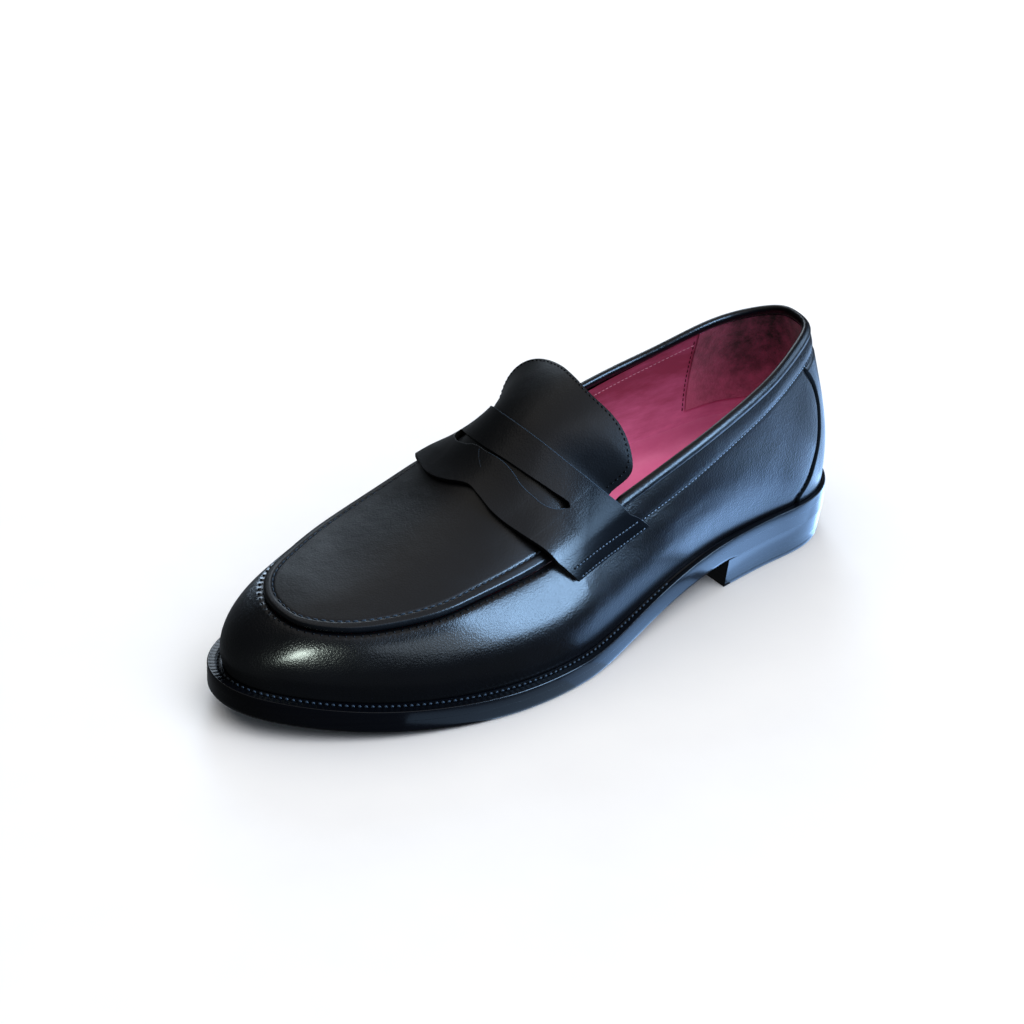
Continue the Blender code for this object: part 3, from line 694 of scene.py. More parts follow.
def suede_finish():
    """Sueded heel grip: napped flesh side, with the nap brushed into lighter and darker patches."""
    finish, tree, shader, place = new_finish("burgundy_suede", {
        "IOR": 1.4, "Roughness": 0.95, "Sheen Weight": 0.35, "Sheen Roughness": 0.4})
    patch = add_node(tree, "ShaderNodeTexNoise", {"Scale": per_metre(10), "Detail": 8.0, "Roughness": 0.72},
                     {"Vector": place})
    spread = add_node(tree, "ShaderNodeMapRange", {"From Min": 0.38, "From Max": 0.64},
                      {"Value": patch.outputs["Fac"]})
    split = add_node(tree, "ShaderNodeSeparateXYZ", {}, {"Vector": place})
    # Painted shade: the tone runs from near black at the back and up high, where the inside of the heel lies in
    # shadow, to paler toward the front and low down.
    front = add_node(tree, "ShaderNodeMapRange", {"From Min": -130 * MM, "From Max": -94 * MM, "To Max": 0.6},
                     {"Value": split.outputs["X"]})
    low = add_node(tree, "ShaderNodeMapRange", {"From Min": 72 * MM, "From Max": 44 * MM, "To Max": 0.5},
                   {"Value": split.outputs["Z"]})
    tone_shift = add_node(tree, "ShaderNodeMath", {"operation": "ADD"}, {0: front.outputs[0], 1: low.outputs[0]})
    share = add_node(tree, "ShaderNodeMath", {"operation": "MULTIPLY_ADD", 1: 0.5},
                     {0: spread.outputs["Result"], 2: tone_shift.outputs[0]})
    # The near-black end of this mix paints the shadow at the back of the heel.
    tone = add_node(tree, "ShaderNodeMix", {"data_type": "RGBA", 6: linear("#1f080e"), 7: linear("#b2587a")},
                    {0: share.outputs[0]})
    nap = add_node(tree, "ShaderNodeTexNoise", {"Scale": per_metre(0.9), "Detail": 6.0}, {"Vector": place})
    both = add_node(tree, "ShaderNodeMath", {"operation": "ADD"},
                    {0: nap.outputs["Fac"], 1: patch.outputs["Fac"]})
    bump = add_node(tree, "ShaderNodeBump", {"Strength": 0.55, "Distance": 0.0004},
                    {"Height": both.outputs[0]})
    feed(tree, shader, {"Base Color": tone.outputs[2], "Normal": bump.outputs["Normal"]})
    return finish


SUEDE = suede_finish()


def thread_finish(name, deep, pale, rough):
    """Twisted polyester thread with wax: ply ridges about half a millimetre apart catch the light."""
    finish, tree, shader, place = new_finish(name, {
        "IOR": 1.5, "Roughness": rough, "Specular IOR Level": 0.05})
    ply = add_node(tree, "ShaderNodeTexNoise", {"Scale": per_metre(0.5), "Detail": 2.0}, {"Vector": place})
    tone = add_node(tree, "ShaderNodeMix", {"data_type": "RGBA", 6: linear(deep), 7: linear(pale)},
                    {0: ply.outputs["Fac"]})
    bump = add_node(tree, "ShaderNodeBump", {"Strength": 0.4, "Distance": 0.0001},
                    {"Height": ply.outputs["Fac"]})
    feed(tree, shader, {"Base Color": tone.outputs[2], "Normal": bump.outputs["Normal"]})
    return finish


# Threads: black where they sink in; charcoal on apron and welt, slate on the strap and grey on the collar, a
# pale tone that paints the highlights these rows catch;
# and pale and dark burgundy inside.
BLACK_THREAD = thread_finish("waxed_black_thread", "#010101", "#030304", 0.5)
APRON_THREAD = thread_finish("charcoal_thread_painted_highlight", "#101316", "#23282d", 0.4)
STRAP_THREAD = thread_finish("slate_thread_painted_highlight", "#22282d", "#444c54", 0.4)
COLLAR_THREAD = thread_finish("grey_thread_painted_highlight", "#3b434b", "#6a747d", 0.4)
LINING_THREAD = thread_finish("pale_lining_thread", "#b3718a", "#d59bb0", 0.6)
GRIP_THREAD = thread_finish("dark_lining_thread", "#2c1019", "#4a1c2b", 0.6)
# Painted highlight of the strap's cut edges: a pale thread, a touch paler than the waxed face, laid along them
# to draw the fine light line they show where they catch the light.
EDGE_HIGHLIGHT_THREAD = thread_finish("painted_edge_highlight", "#171b1f", "#2b3238", 0.5)


def rubber_finish():
    """Moulded black rubber of the top lift: matt, faintly speckled."""
    finish, tree, shader, place = new_finish("moulded_black_rubber", {
        "IOR": 1.52, "Specular IOR Level": 0.09})
    grit = add_node(tree, "ShaderNodeTexNoise", {"Scale": per_metre(1.2), "Detail": 4.0}, {"Vector": place})
    tone = add_node(tree, "ShaderNodeMix", {"data_type": "RGBA", 6: linear("#020202"), 7: linear("#040405")},
                    {0: grit.outputs["Fac"]})
    gloss = add_node(tree, "ShaderNodeMapRange", {"To Min": 0.28, "To Max": 0.40},
                     {"Value": grit.outputs["Fac"]})
    bump = add_node(tree, "ShaderNodeBump", {"Strength": 0.15, "Distance": 0.0001},
                    {"Height": grit.outputs["Fac"]})
    feed(tree, shader, {"Base Color": tone.outputs[2], "Roughness": gloss.outputs["Result"],
                        "Normal": bump.outputs["Normal"]})
    return finish


EDGE = edge_finish()
RUBBER = rubber_finish()


# Stitches


def stitch_form():
    """One stitch lying along x, unit length and width: a plump thread that dips in at both ends."""
    rings, sides = 7, 6
    points = []
    for i in range(rings):
        x = -0.5 + i / (rings - 1)
        girth = np.sqrt(max(1 - (1.9 * x) ** 4, 0.05)) * 0.5
        for m in range(sides):
            turn = 2 * np.pi * m / sides
            points.append((x, girth * np.cos(turn), girth * np.sin(turn) - 1.4 * x * x))
    faces = grid_faces(rings, sides, wrap=True)
    faces.append(tuple(range(sides)))
    faces.append(tuple(range((rings - 1) * sides, rings * sides)))
    return np.array(points), faces


STITCH_POINTS, STITCH_FACES = stitch_form()


def resample(path, normals, pitch):
    """Even places along a path, with the direction of the path and its normals there."""
    run = run_along(path)
    places = np.arange(0.5 * pitch, run[-1] - 0.4 * pitch, pitch)

    def at(rows, ahead=0.0):
        return np.stack([np.interp(places + ahead, run, rows[:, c]) for c in range(3)], axis=1)

    return at(path), unit(at(path, 0.3) - at(path, -0.3)), unit(at(normals))


def sew(name, rows, pitch, length, width, finish, sink=0.1):
    """Rows of stitches as one piece; each row is a path with normals, on the leather's face."""
    points = []
    faces = []
    for path, normals in rows:
        at, along, up = resample(path, normals, pitch)
        side = unit(np.cross(up, along))
        up = np.cross(along, side)
        for p, a, s, n in zip(at, along, side, up):
            first = len(points)
            form = p + STITCH_POINTS[:, :1] * a * length + STITCH_POINTS[:, 1:2] * s * width
            points.extend(form + (STITCH_POINTS[:, 2:] * width + width * 0.5 - sink) * n)
            faces.extend(tuple(first + i for i in f) for f in STITCH_FACES)
    add_piece(name, np.array(points), faces, finish)


# Upper: walls with the collar band, creases and the gathered edge at the apron seam.
# Lengths are in mm, heights are shares of the wall, and places along the seam are stations from the throat.
WALL_COLUMNS = 900
WALL_ROWS = 62
# Usual distance between stations round the heel and along the sides
HEEL_STATION = 22.0
SIDE_STATION = 25.0
SEAM_FROM = 1.0
SEAM_FULL = 1.8
SEAM_ROLL = 2.8
SEAM_DEPTH = 1.5
PUCKER_PITCH = 3.1
PUCKER_DEPTH = 0.13
PUCKER_DROP = 1.5
PUCKER_SPREAD = 0.9
VAMP_SEWN_FROM = 1.35
COLLAR_FLARE = 1.2
COLLAR_PAD = 0.35
COLLAR_GROOVE = 0.20
STAY_GROOVE = 0.9
# Belly of the vamp wall, pressed out by the last: stations, and its rise there
BELLY = ((0.0, 0.0), (5.0, 0.0), (7.0, 1.2), (8.5, 1.5), (10.0, 1.4), (12.0, 0.9), (13.5, 0.8), (15.0, 0.2),
         (16.0, 0.0), (30.0, 0.0))
BELLY_HEIGHT = 0.42
BELLY_SPREAD = 0.2
# Foot of the walls, tucked behind the welt
WALL_TUCK_IN = 1.2
WALL_TUCK_DOWN = 0.8
# Top edge of the walls, turned in: in and down under the apron, in all round, and up along the collar
WALL_TURN = ((0.7, 0.5, 0.0, 0.8), (0.9, 1.6, 0.6, 1.5), (3.4, 1.9, 1.6, 0.9))


def from_throat(u):
    """Stations forward of the throat, on either side."""
    return np.minimum(u - THROAT, COUNT - THROAT - u)


def seam_share(k):
    """How far the apron seam has opened, k stations forward of the throat."""
    return smooth_step(SEAM_FROM, SEAM_FULL, k)


def collar_height(u):
    """Height of the stitch row under the topline, on either side."""
    near = np.minimum(u % COUNT, COUNT - u % COUNT)
    return COLLAR_HEIGHT(near)[:, 0], near


def collar_flare(near):
    """How far the topline stands out beside the strap, in mm."""
    return COLLAR_FLARE * smooth_step(3.4, 5.0, near)


def wall_relief(u, v, drop, rim_run, tall):
    """Outward relief of the walls in mm, for columns u and rows v."""
    seam = seam_share(from_throat(u))[None, :]
    relief = -seam * SEAM_DEPTH * np.clip(1 - drop / SEAM_ROLL, 0, 1) ** 2
    # Gathered by hand, so the puckers wander a little along the seam.
    wander = 0.9 * np.sin(rim_run * 0.21) + 0.6 * np.sin(rim_run * 0.083 + 1.0)
    gather = np.cos(2 * np.pi * rim_run / PUCKER_PITCH + wander)[None, :]
    relief += seam * PUCKER_DEPTH * gather * np.exp(-((drop - PUCKER_DROP) / PUCKER_SPREAD) ** 2)
    belly = np.interp(u, [row[0] for row in BELLY], [row[1] for row in BELLY])
    relief += belly[None, :] * np.exp(-((v - BELLY_HEIGHT) / BELLY_SPREAD) ** 2)[:, None]
    height, near = collar_height(u)
    shown = smooth_step(6.6, 6.2, near)
    gap = (v[:, None] - height[None, :]) * tall[None, :]
    relief -= shown * COLLAR_GROOVE * np.exp(-(gap / 0.5) ** 2)
    band = np.clip(gap / np.maximum((1 - height) * tall, 1.0)[None, :], 0, 1)
    relief += shown * (COLLAR_PAD * np.sin(np.pi * band) + collar_flare(near)[None, :] * band)
    stay = (near[None, :] - STAY_EDGE(v)) * HEEL_STATION
    relief -= STAY_GROOVE * np.exp(-((stay - 0.3) / 1.1) ** 2) * smooth_step(0.93, 0.90, v)[:, None]
    for at, high, long, wide, tilt, depth in CREASES:
        a = (u - at)[None, :] * SIDE_STATION
        b = (v[:, None] - high) * tall[None, :]
        turn = np.radians(tilt)
        along = a * np.cos(turn) + b * np.sin(turn)
        side = b * np.cos(turn) - a * np.sin(turn)
        relief -= depth * np.exp(-(along / long) ** 2 - (side / wide) ** 2)
    return relief


def make_walls():
    """Vamp and quarters in one skin, turned in at the top, with the seam stitches along the apron."""
    u = round_the_shoe(WALL_COLUMNS)
    v = 1 - (1 - np.linspace(0, 1, WALL_ROWS)) ** 1.5
    grid = np.array([wall(u, h) for h in v])
    normal = grid_normals(grid, wrap=True)
    climb = np.cumsum(np.linalg.norm(np.diff(grid, axis=0), axis=2), axis=0)
    climb = np.vstack([np.zeros((1, WALL_COLUMNS)), climb])
    drop = climb[-1] - climb
    relief = wall_relief(u, v, drop, run_along(grid[-1]), climb[-1])
    grid = grid + normal * relief[:, :, None]
    out = np.column_stack([outward(u), np.zeros(WALL_COLUMNS)])
    tucked = grid[0] - out * WALL_TUCK_IN - UP * WALL_TUCK_DOWN
    under = smooth_step(0.2, 1.2, from_throat(u))[:, None]
    rise = unit(grid[-1] - grid[-6]) * (1 - under)
    turned = [grid[-1] - under * (out * hidden_in + UP * hidden_down) - out * all_in + rise * up
              for hidden_in, hidden_down, all_in, up in WALL_TURN]
    columns = np.arange(WALL_COLUMNS)
    row = np.argmin(np.abs(drop - PUCKER_DROP), axis=0)
    sewn = from_throat(u) > VAMP_SEWN_FROM
    seam = (grid[row, columns][sewn], normal[row, columns][sewn])
    sew("vamp_seam_stitches", [seam], PUCKER_PITCH, 1.3, 0.95, BLACK_THREAD, sink=0.6)
    rows = np.array([tucked, *grid, *turned])
    faces = grid_faces(len(rows), WALL_COLUMNS, wrap=True)
    add_piece("vamp_and_quarters", rows.reshape(-1, 3), faces, POLISHED_CALF, ("upper",))


# Apron: distances in mm in from its edge where rows of the mesh lie, then even rows to the ridge
APRON_EDGE_ROWS = (0.0, 0.12, 0.3, 0.55, 0.9, 1.4, 1.9, 2.4, 2.8, 3.1, 3.4, 3.7, 4.0, 4.5, 5.2, 6.2, 7.5)
APRON_INNER_ROWS = 20
APRON_STITCH_IN = 3.4
APRON_FROM = 0.2
APRON_SEWN_FROM = 1.3
# Its lip: rise, trough under the stitches and rounding of the edge, then the edge's underside, in and down
LIP_RISE = 0.15
LIP_TROUGH = 0.30
LIP_ROUND = 0.55
LIP_UNDER = ((1.0, 2.4), (-0.05, 1.3), (-0.12, 0.5))
# Its crown: how far in from the edge it starts and is full, the order of its smooth form, and the stations
# from the throat where it starts and is full
CROWN_FROM = 3.9
CROWN_FULL = 12.0
CROWN_ORDER = 9
CROWN_STATIONS = (1.0, 2.2)


def apron_rows(k, side):
    """Grid of one half of the apron from its edge to the ridge, with relief, and its normals."""
    reach = np.linalg.norm(apron(k, 1.0, side) - apron(k, 0.0, side), axis=1)
    last = APRON_EDGE_ROWS[-1]
    rows = [apron(k, 1 - d / reach, side) for d in APRON_EDGE_ROWS]
    for i in range(1, APRON_INNER_ROWS + 1):
        rows.append(apron(k, (1 - last / reach) * (1 - i / APRON_INNER_ROWS), side))
    grid = np.array(rows)
    depth = np.array(APRON_EDGE_ROWS + (last + 1.0,) * APRON_INNER_ROWS)
    normal = grid_normals(grid)
    if np.mean(normal[:, :, 2]) < 0:
        normal = -normal
    lip = LIP_RISE * smooth_step(0.2, 0.8, depth) * smooth_step(3.2, 2.4, depth)
    lip -= LIP_TROUGH * np.exp(-((depth - APRON_STITCH_IN) / 0.42) ** 2)
    lip -= LIP_ROUND * np.clip(1 - depth / 0.6, 0, 1) ** 2
    return grid + normal * (lip[:, None] * seam_share(k)[None, :])[:, :, None], normal


def even_crown(piece, rim, crest):
    """Draw the middle of the apron to one smooth crown, so no ridge shows where its halves meet."""
    mesh = piece.data
    at = np.array([v.co[:] for v in mesh.vertices])
    edge = np.array([np.min(np.sum((rim - spot[:2]) ** 2, axis=1)) for spot in at]) ** 0.5 / MM
    x, y = ((at[:, :2] - rim.mean(axis=0)) / np.ptp(rim, axis=0) * 2).T
    terms = np.column_stack([x ** i * y ** j for i in range(CROWN_ORDER) for j in range(CROWN_ORDER - i)])
    inner = edge > CROWN_FROM
    weight = np.where(edge < CROWN_FULL, 2.0, 1.0)[inner]
    crown = np.linalg.lstsq(terms[inner] * weight[:, None], at[inner, 2] * weight, rcond=None)[0]
    share = smooth_step(CROWN_FROM, CROWN_FULL, edge) * smooth_step(*crest, at[:, 0]) * inner
    at[:, 2] += share * (terms @ crown - at[:, 2])
    mesh.vertices.foreach_set("co", at.ravel())


def make_apron():
    """Apron: two halves that meet on the ridge, with a rounded lip and a stitch row along it."""
    k = np.linspace(APRON_FROM, APRON_SPAN, 300)
    sewn = k > APRON_SEWN_FROM
    row = APRON_EDGE_ROWS.index(APRON_STITCH_IN)
    points = []
    faces = []
    stitch_rows = []
    for side in (1, -1):
        grid, normal = apron_rows(k, side)
        toward = unit((grid[-1] - grid[0]) * (1 - UP))
        under = [grid[0] + toward * inward - UP * down for inward, down in LIP_UNDER]
        rows = np.array([*under, *grid])
        faces.extend(grid_faces(len(rows), len(k), len(points)))
        points.extend(rows.reshape(-1, 3))
        stitch_rows.append((grid[row][sewn], normal[row][sewn]))
    piece = add_piece("apron", np.array(points), faces, SATIN_CALF, ("upper",), weld=WELD)
    turn_out(piece, RIDGE[4][:3], UP)
    rim = np.concatenate([to_scene(apron(k, 1.0, side))[:, :2] for side in (1, -1)])
    even_crown(piece, rim, to_scene(RIDGE_CURVE(CROWN_STATIONS)[:, :3])[:, 0])
    sew("apron_stitches", stitch_rows, 3.0, 2.3, 0.62, APRON_THREAD, sink=0.12)


# Lining, heel grip and sock: depths in mm behind the wall's face, heights as shares of the wall
LINING_IN = 1.5
LINING_FRONT_IN = 2.6
LINING_FRONT_HEIGHT = 0.9
LINING_RIPPLE = 0.22
ROOF_ROWS = 14
ROOF_REACH = 0.86
ROOF_DROP = 2.4
LINING_ROW = 0.915
LINING_ROW_ENDS = (3.02, 5.6)
GRIP_REACH = 2.98
GRIP_SEAM = 3.03
GRIP_LOW = 0.30
GRIP_HIGH = 0.99
GRIP_THICK = 0.6
# Sock: distance in from the lining, and height above the insole
SOCK_COLUMNS = 360
SOCK_ROWS = ((-1.5, 9.5), (0.0, 7.2), (1.1, 4.8), (2.3, 3.0), (4.0, 1.6), (6.5, 0.6), (10.0, 0.1),
             (15.0, 0.0), (22.0, 0.0))


def inner_wall(u, v, deep):
    """Inside of the wall, a depth in from its outer face, with its normals."""
    grid = np.array([wall(u % COUNT, h) for h in v])
    normal = grid_normals(grid)
    return grid - normal * deep, normal


def make_lining():
    """Lining of the walls, its roof under the apron, and the stitch row below the topline."""
    u = np.linspace(0, COUNT, 361)
    v = np.append(np.linspace(0.0, 0.9, 28), np.linspace(0.915, 0.985, 6))
    grid, normal = inner_wall(u, v, LINING_IN)
    ripple = LINING_RIPPLE * np.sin(u * 2.1) * (np.sin(v * 7.0 + 0.6) * smooth_step(1.0, 0.8, v))[:, None]
    grid = grid + normal * ripple[:, :, None]
    front = smooth_step(0.2, 1.0, from_throat(u))[None, :, None]
    low = np.array([wall(u % COUNT, h * LINING_FRONT_HEIGHT) for h in v]) - normal * LINING_FRONT_IN
    grid = grid * (1 - front) + low * front
    grid[:, -1] = grid[:, 0]
    points = list(grid.reshape(-1, 3))
    faces = grid_faces(len(v), len(u))
    k = np.linspace(APRON_FROM, APRON_SPAN, 90)
    for side in (1, -1):
        half = np.array([apron(k, r, side) for r in np.linspace(ROOF_REACH, 0, ROOF_ROWS)]) - UP * ROOF_DROP
        faces.extend(grid_faces(ROOF_ROWS, len(k), len(points)))
        points.extend(half.reshape(-1, 3))
    add_piece("lining", np.array(points), faces, LINING_CALF, ("upper",), weld=WELD)
    near, far = LINING_ROW_ENDS
    rows = []
    for start, end in ((COUNT - far, COUNT - near), (near, far)):
        heights = LINING_ROW + np.array([-0.01, 0.0, 0.01])
        seam, up = inner_wall(np.linspace(start, end, 120), heights, LINING_IN)
        rows.append((seam[1], -up[1]))
    sew("lining_stitches", rows, 2.1, 1.6, 0.42, LINING_THREAD, sink=0.12)


def make_heel_grip():
    """Sueded piece round the inside of the heel, cut off level above the sock."""
    u = np.linspace(COUNT - GRIP_REACH, COUNT + GRIP_REACH, 150)
    v = np.linspace(GRIP_LOW, GRIP_HIGH, 36)
    grid = inner_wall(u, v, LINING_IN + 0.1)[0]
    grip = add_piece("heel_grip", grid.reshape(-1, 3), grid_faces(len(v), len(u)), SUEDE)
    turn_out(grip, (8.0, -9.0, 60.0), (1, 0, 0))
    thicken(grip, GRIP_THICK, 1, 0.2)
    rows = []
    for at in (COUNT - GRIP_SEAM, COUNT + GRIP_SEAM):
        places = at + np.array([-0.02, 0.0, 0.02])
        seam, up = inner_wall(places, np.linspace(GRIP_LOW, 0.97, 60), LINING_IN)
        rows.append((seam[:, 1], -up[:, 1]))
    sew("heel_grip_stitches", rows, 2.4, 1.7, 0.5, GRIP_THREAD, sink=0.12)


def cap_faces(first, n):
    """Strips across the foot that close a ring."""
    faces = []
    for j in range(n // 2):
        across = (j, j + 1, (n - j - 1) % n, (n - j) % n)
        corners = list(dict.fromkeys(first + place for place in across))
        if len(corners) > 2:
            faces.append(tuple(corners))
    return faces


def make_sock():
    """Sock over the insole: dished, with its edge turned up against the lining."""
    u = round_the_shoe(SOCK_COLUMNS)
    edge = station(u)[:, LEDGE] + UPPER_WALL - 0.4
    high = FEATHER_RISE + INSOLE_RISE
    points = ringed(u, [(edge + by, high + lift) for by, lift in SOCK_ROWS])
    faces = grid_faces(len(SOCK_ROWS), SOCK_COLUMNS, wrap=True)
    faces.extend(cap_faces((len(SOCK_ROWS) - 1) * SOCK_COLUMNS, SOCK_COLUMNS))
    add_piece("sock", points, faces, SOCK_CALF, ("insole",))


# Saddle strap: how far it stands off and rides up over the seam in mm on the outer and the inner side,
# the slant of its ends, the rows of its two bands, and the pitch and places of its stitch rows
STRAP_GAP = JOINT_GAP + 0.1
STRAP_RIDE = 3.0
INNER_RIDE = 1.4
END_SLANT = 0.02
STRAP_BACK_ROWS = 22
STRAP_FRONT_ROWS = 26
STRAP_PITCH = 1.9
STRAP_SEAMS = (0.012, 0.086)
# Easing over the rims: columns it reaches, its spread in columns, and its width across the strap
EASE_REACH = 9
EASE_SPREAD = 4.0
EASE_WIDTH = 0.045
# Line of the small cut, in the strap's places across and along
NOTCH = ((0.539, 1.15), (0.528, 1.25), (0.515, 1.35), (0.500, 1.44), (0.486, 1.51))


def eased(grid, across):
    """Smooth a grid along its columns near the two rims."""
    weight = np.exp(-0.5 * (np.arange(-EASE_REACH, EASE_REACH + 1) / EASE_SPREAD) ** 2)
    weight /= weight.sum()
    padded = np.pad(grid, ((0, 0), (EASE_REACH, EASE_REACH), (0, 0)), mode="edge")
    soft = sum(w * padded[:, i:i + grid.shape[1]] for i, w in enumerate(weight))
    near = sum(np.exp(-((across - rim) / EASE_WIDTH) ** 2) for rim in (RIM_ACROSS, 1 - RIM_ACROSS))
    near = np.clip(near, 0, 1)[None, :, None]
    return grid * (1 - near) + soft * near


def strap_place(across, k):
    """Place under the strap; the back corner of each end is cut a little shorter."""
    edge = STRAP_EDGE(across)
    back = np.clip((edge[:, 1] - k) / (edge[:, 1] - edge[:, 0]), 0, 1)
    cut = END_SLANT * back * np.clip(1 - np.minimum(across, 1 - across) / RIM_ACROSS, 0, 1)
    return instep(across + np.where(across < 0.5, cut, -cut), k)


def strap_lift(across):
    """How far the strap stands off, in mm: most at the bend over the seam, nothing at its sewn ends."""
    from_end = np.minimum(across, 1 - across)
    hang = from_end / (RIM_ACROSS + 0.02)
    crown = smooth_step(0.33, 0.19, from_end)
    ride = np.where(across < 0.5, STRAP_RIDE, INNER_RIDE)
    return ride * 0.5 * (hang + crown - np.hypot(hang - crown, 0.12))


def strap_band(across, low, high, rows):
    """Grid between two edges given as places along the apron."""
    grid = np.zeros((rows, len(across), 3))
    for i in range(rows):
        grid[i] = strap_place(across, low + (high - low) * i / (rows - 1))
    grid = eased(grid, across)
    normal = grid_normals(grid[:, ::-1])[:, ::-1]
    if normal[rows // 2, len(across) // 2, 2] < 0:
        normal = -normal
    return grid + normal * (STRAP_GAP + strap_lift(across)[None, :, None]), normal


def sew_slot_notch():
    """Small cut in the middle of the slot's lower edge: the cut is real, drawn as a pale line whose tone is a
    painted highlight of its lit edge.
    """
    across, k = open_spline(range(len(NOTCH)), NOTCH)(np.linspace(0, len(NOTCH) - 1, 30)).T
    path = instep(across, k)
    normal = unit(np.cross(instep(across, k + 0.02) - path, instep(across + 0.004, k) - path))
    normal *= np.sign(normal[:, 2:3])
    path = path + normal * (STRAP_GAP + STRAP_THICK)
    sew("slot_notch", [(path, normal)], 0.9, 1.3, 0.34, EDGE_HIGHLIGHT_THREAD, sink=0.26)


def strap_seam(place, side):
    """One stitch row across an end of the strap: its path and normals."""
    across = place + np.array([-0.004, 0.0, 0.004])
    if side < 0:
        across = 1 - across
    back, front = STRAP_EDGE(across[1:2])[0]
    grid = np.array([strap_place(across, np.full(3, k)) for k in np.linspace(back + 0.06, front - 0.06, 160)])
    normal = unit(np.cross(np.gradient(grid, axis=0), np.gradient(grid, axis=1)))[:, 1]
    if np.mean(normal[:, 1]) * side < 0:
        normal = -normal
    return grid[:, 1] + normal * (STRAP_GAP + STRAP_THICK + strap_lift(across[1:2])), normal


def sew_strap_ends():
    """Stitch rows across both ends of the strap, with pinholes between the stitches."""
    rows = [strap_seam(place, side) for side in (1, -1) for place in STRAP_SEAMS]
    holes = []
    for path, normal in rows:
        late = run_along(path) > STRAP_PITCH / 2
        holes.append((path[late], normal[late]))
    sew("strap_stitches", rows, STRAP_PITCH, 1.15, 0.55, STRAP_THREAD, sink=0.1)
    sew("strap_pinholes", holes, STRAP_PITCH, 0.95, 0.95, BLACK_THREAD, sink=0.3)


def make_strap():
    """Strap: one band behind the slot and one before it, joined outside it, with sewn edges and pale lines that
    paint the highlight along its top edges.
    """
    slot_ends = np.concatenate([np.linspace(0.250, 0.290, 21), np.linspace(0.705, 0.742, 19)])
    across = np.unique(np.round(np.concatenate([np.linspace(0, 1, 261), slot_ends]), 5))
    edges = STRAP_EDGE(across)
    slot = table_curve(SLOT)(across)
    outside = (across <= SLOT[0][0]) | (across >= SLOT[-1][0])
    slot[outside] = slot[outside].mean(axis=1, keepdims=True)
    back, back_up = strap_band(across, edges[:, 0], slot[:, 0], STRAP_BACK_ROWS)
    front, front_up = strap_band(across, slot[:, 1], edges[:, 1], STRAP_FRONT_ROWS)
    front[0][outside] = back[-1][outside]
    n = len(across)
    points = np.concatenate([back.reshape(-1, 3), front.reshape(-1, 3)])
    faces = grid_faces(STRAP_BACK_ROWS, n) + grid_faces(STRAP_FRONT_ROWS, n, STRAP_BACK_ROWS * n)
    strap = add_piece("penny_strap", points, faces, STRAP_CALF, ("saddle_strap",), weld=WELD)
    turn_out(strap, (174.0, -4.0, 80.0), (0.6, 0, 0.8))
    thicken(strap, STRAP_THICK, 1, 0.3, CUT_EDGE)
    sew_slot_notch()
    # Pale lines along the back band's top edge and the front band's lip: painted highlights where these cut
    # edges catch the light.
    top = (across > 0.19) & (across < 0.78)
    lip = (across > SLOT[0][0] + 0.004) & (across < 0.5)
    shaped = [(grid[0][part] + up[0][part] * (STRAP_THICK - 0.1), up[0][part])
            for grid, up, part in ((back, back_up, top), (front, front_up, lip))]
    sew("strap_edge_highlights", shaped, 0.9, 1.3, 0.3, EDGE_HIGHLIGHT_THREAD, sink=0.1)
    sew_strap_ends()


# Tongue: how square its tip is, how far its two edges are drawn out in mm, and the dip beside the crest
TIP_SQUARE = 0.545
OUTER_PULL = (-4.0, 4.5, 0.6)
INNER_PULL = (3.3, -5.9, -1.4)
TIP_DIP = 0.115
TONGUE_HIDDEN_ROWS = 9
TONGUE_SEAM = 0.968
# A place on its face, and the place its lining is drawn in to, a little smaller and lower
TONGUE_SPOT = (148.0, -6.0, 96.0)
TONGUE_MIDDLE = (148.0, -4.0, 90.0)
TONGUE_LINING_THICK = 2.4
TONGUE_LINING_SHARE = 0.985
TONGUE_LINING_DROP = 0.4


def soft_tongue(t, r):
    """Tongue as the foot has worn it: edges drawn out sideways, tip dipping beside its crest."""
    dip = TIP_DIP * np.exp(-((r - 0.42) / 0.36) ** 2) * smooth_step(0.3, 1.0, t)
    outer = np.clip(r, 0, 1) ** 1.3 * smooth_step(0.0, 0.6, t)
    drawn = 0.5 * (smooth_step(-0.3, 0.0, t) + smooth_step(0.0, 0.9, t))
    inner = np.clip(-r, 0, 1) ** 2 * drawn
    pulled = outer[:, None] * [OUTER_PULL] + inner[:, None] * [INNER_PULL]
    return tongue_face(t * (1 - dip), r) + pulled


def rounded_tip(rho, turn):
    """Places t and r on a rounded tip: rho from the hinge to the edge, turn round it."""
    across = np.sign(np.cos(turn)) * np.abs(np.cos(turn)) ** TIP_SQUARE
    return rho * np.abs(np.sin(turn)) ** TIP_SQUARE, rho * across


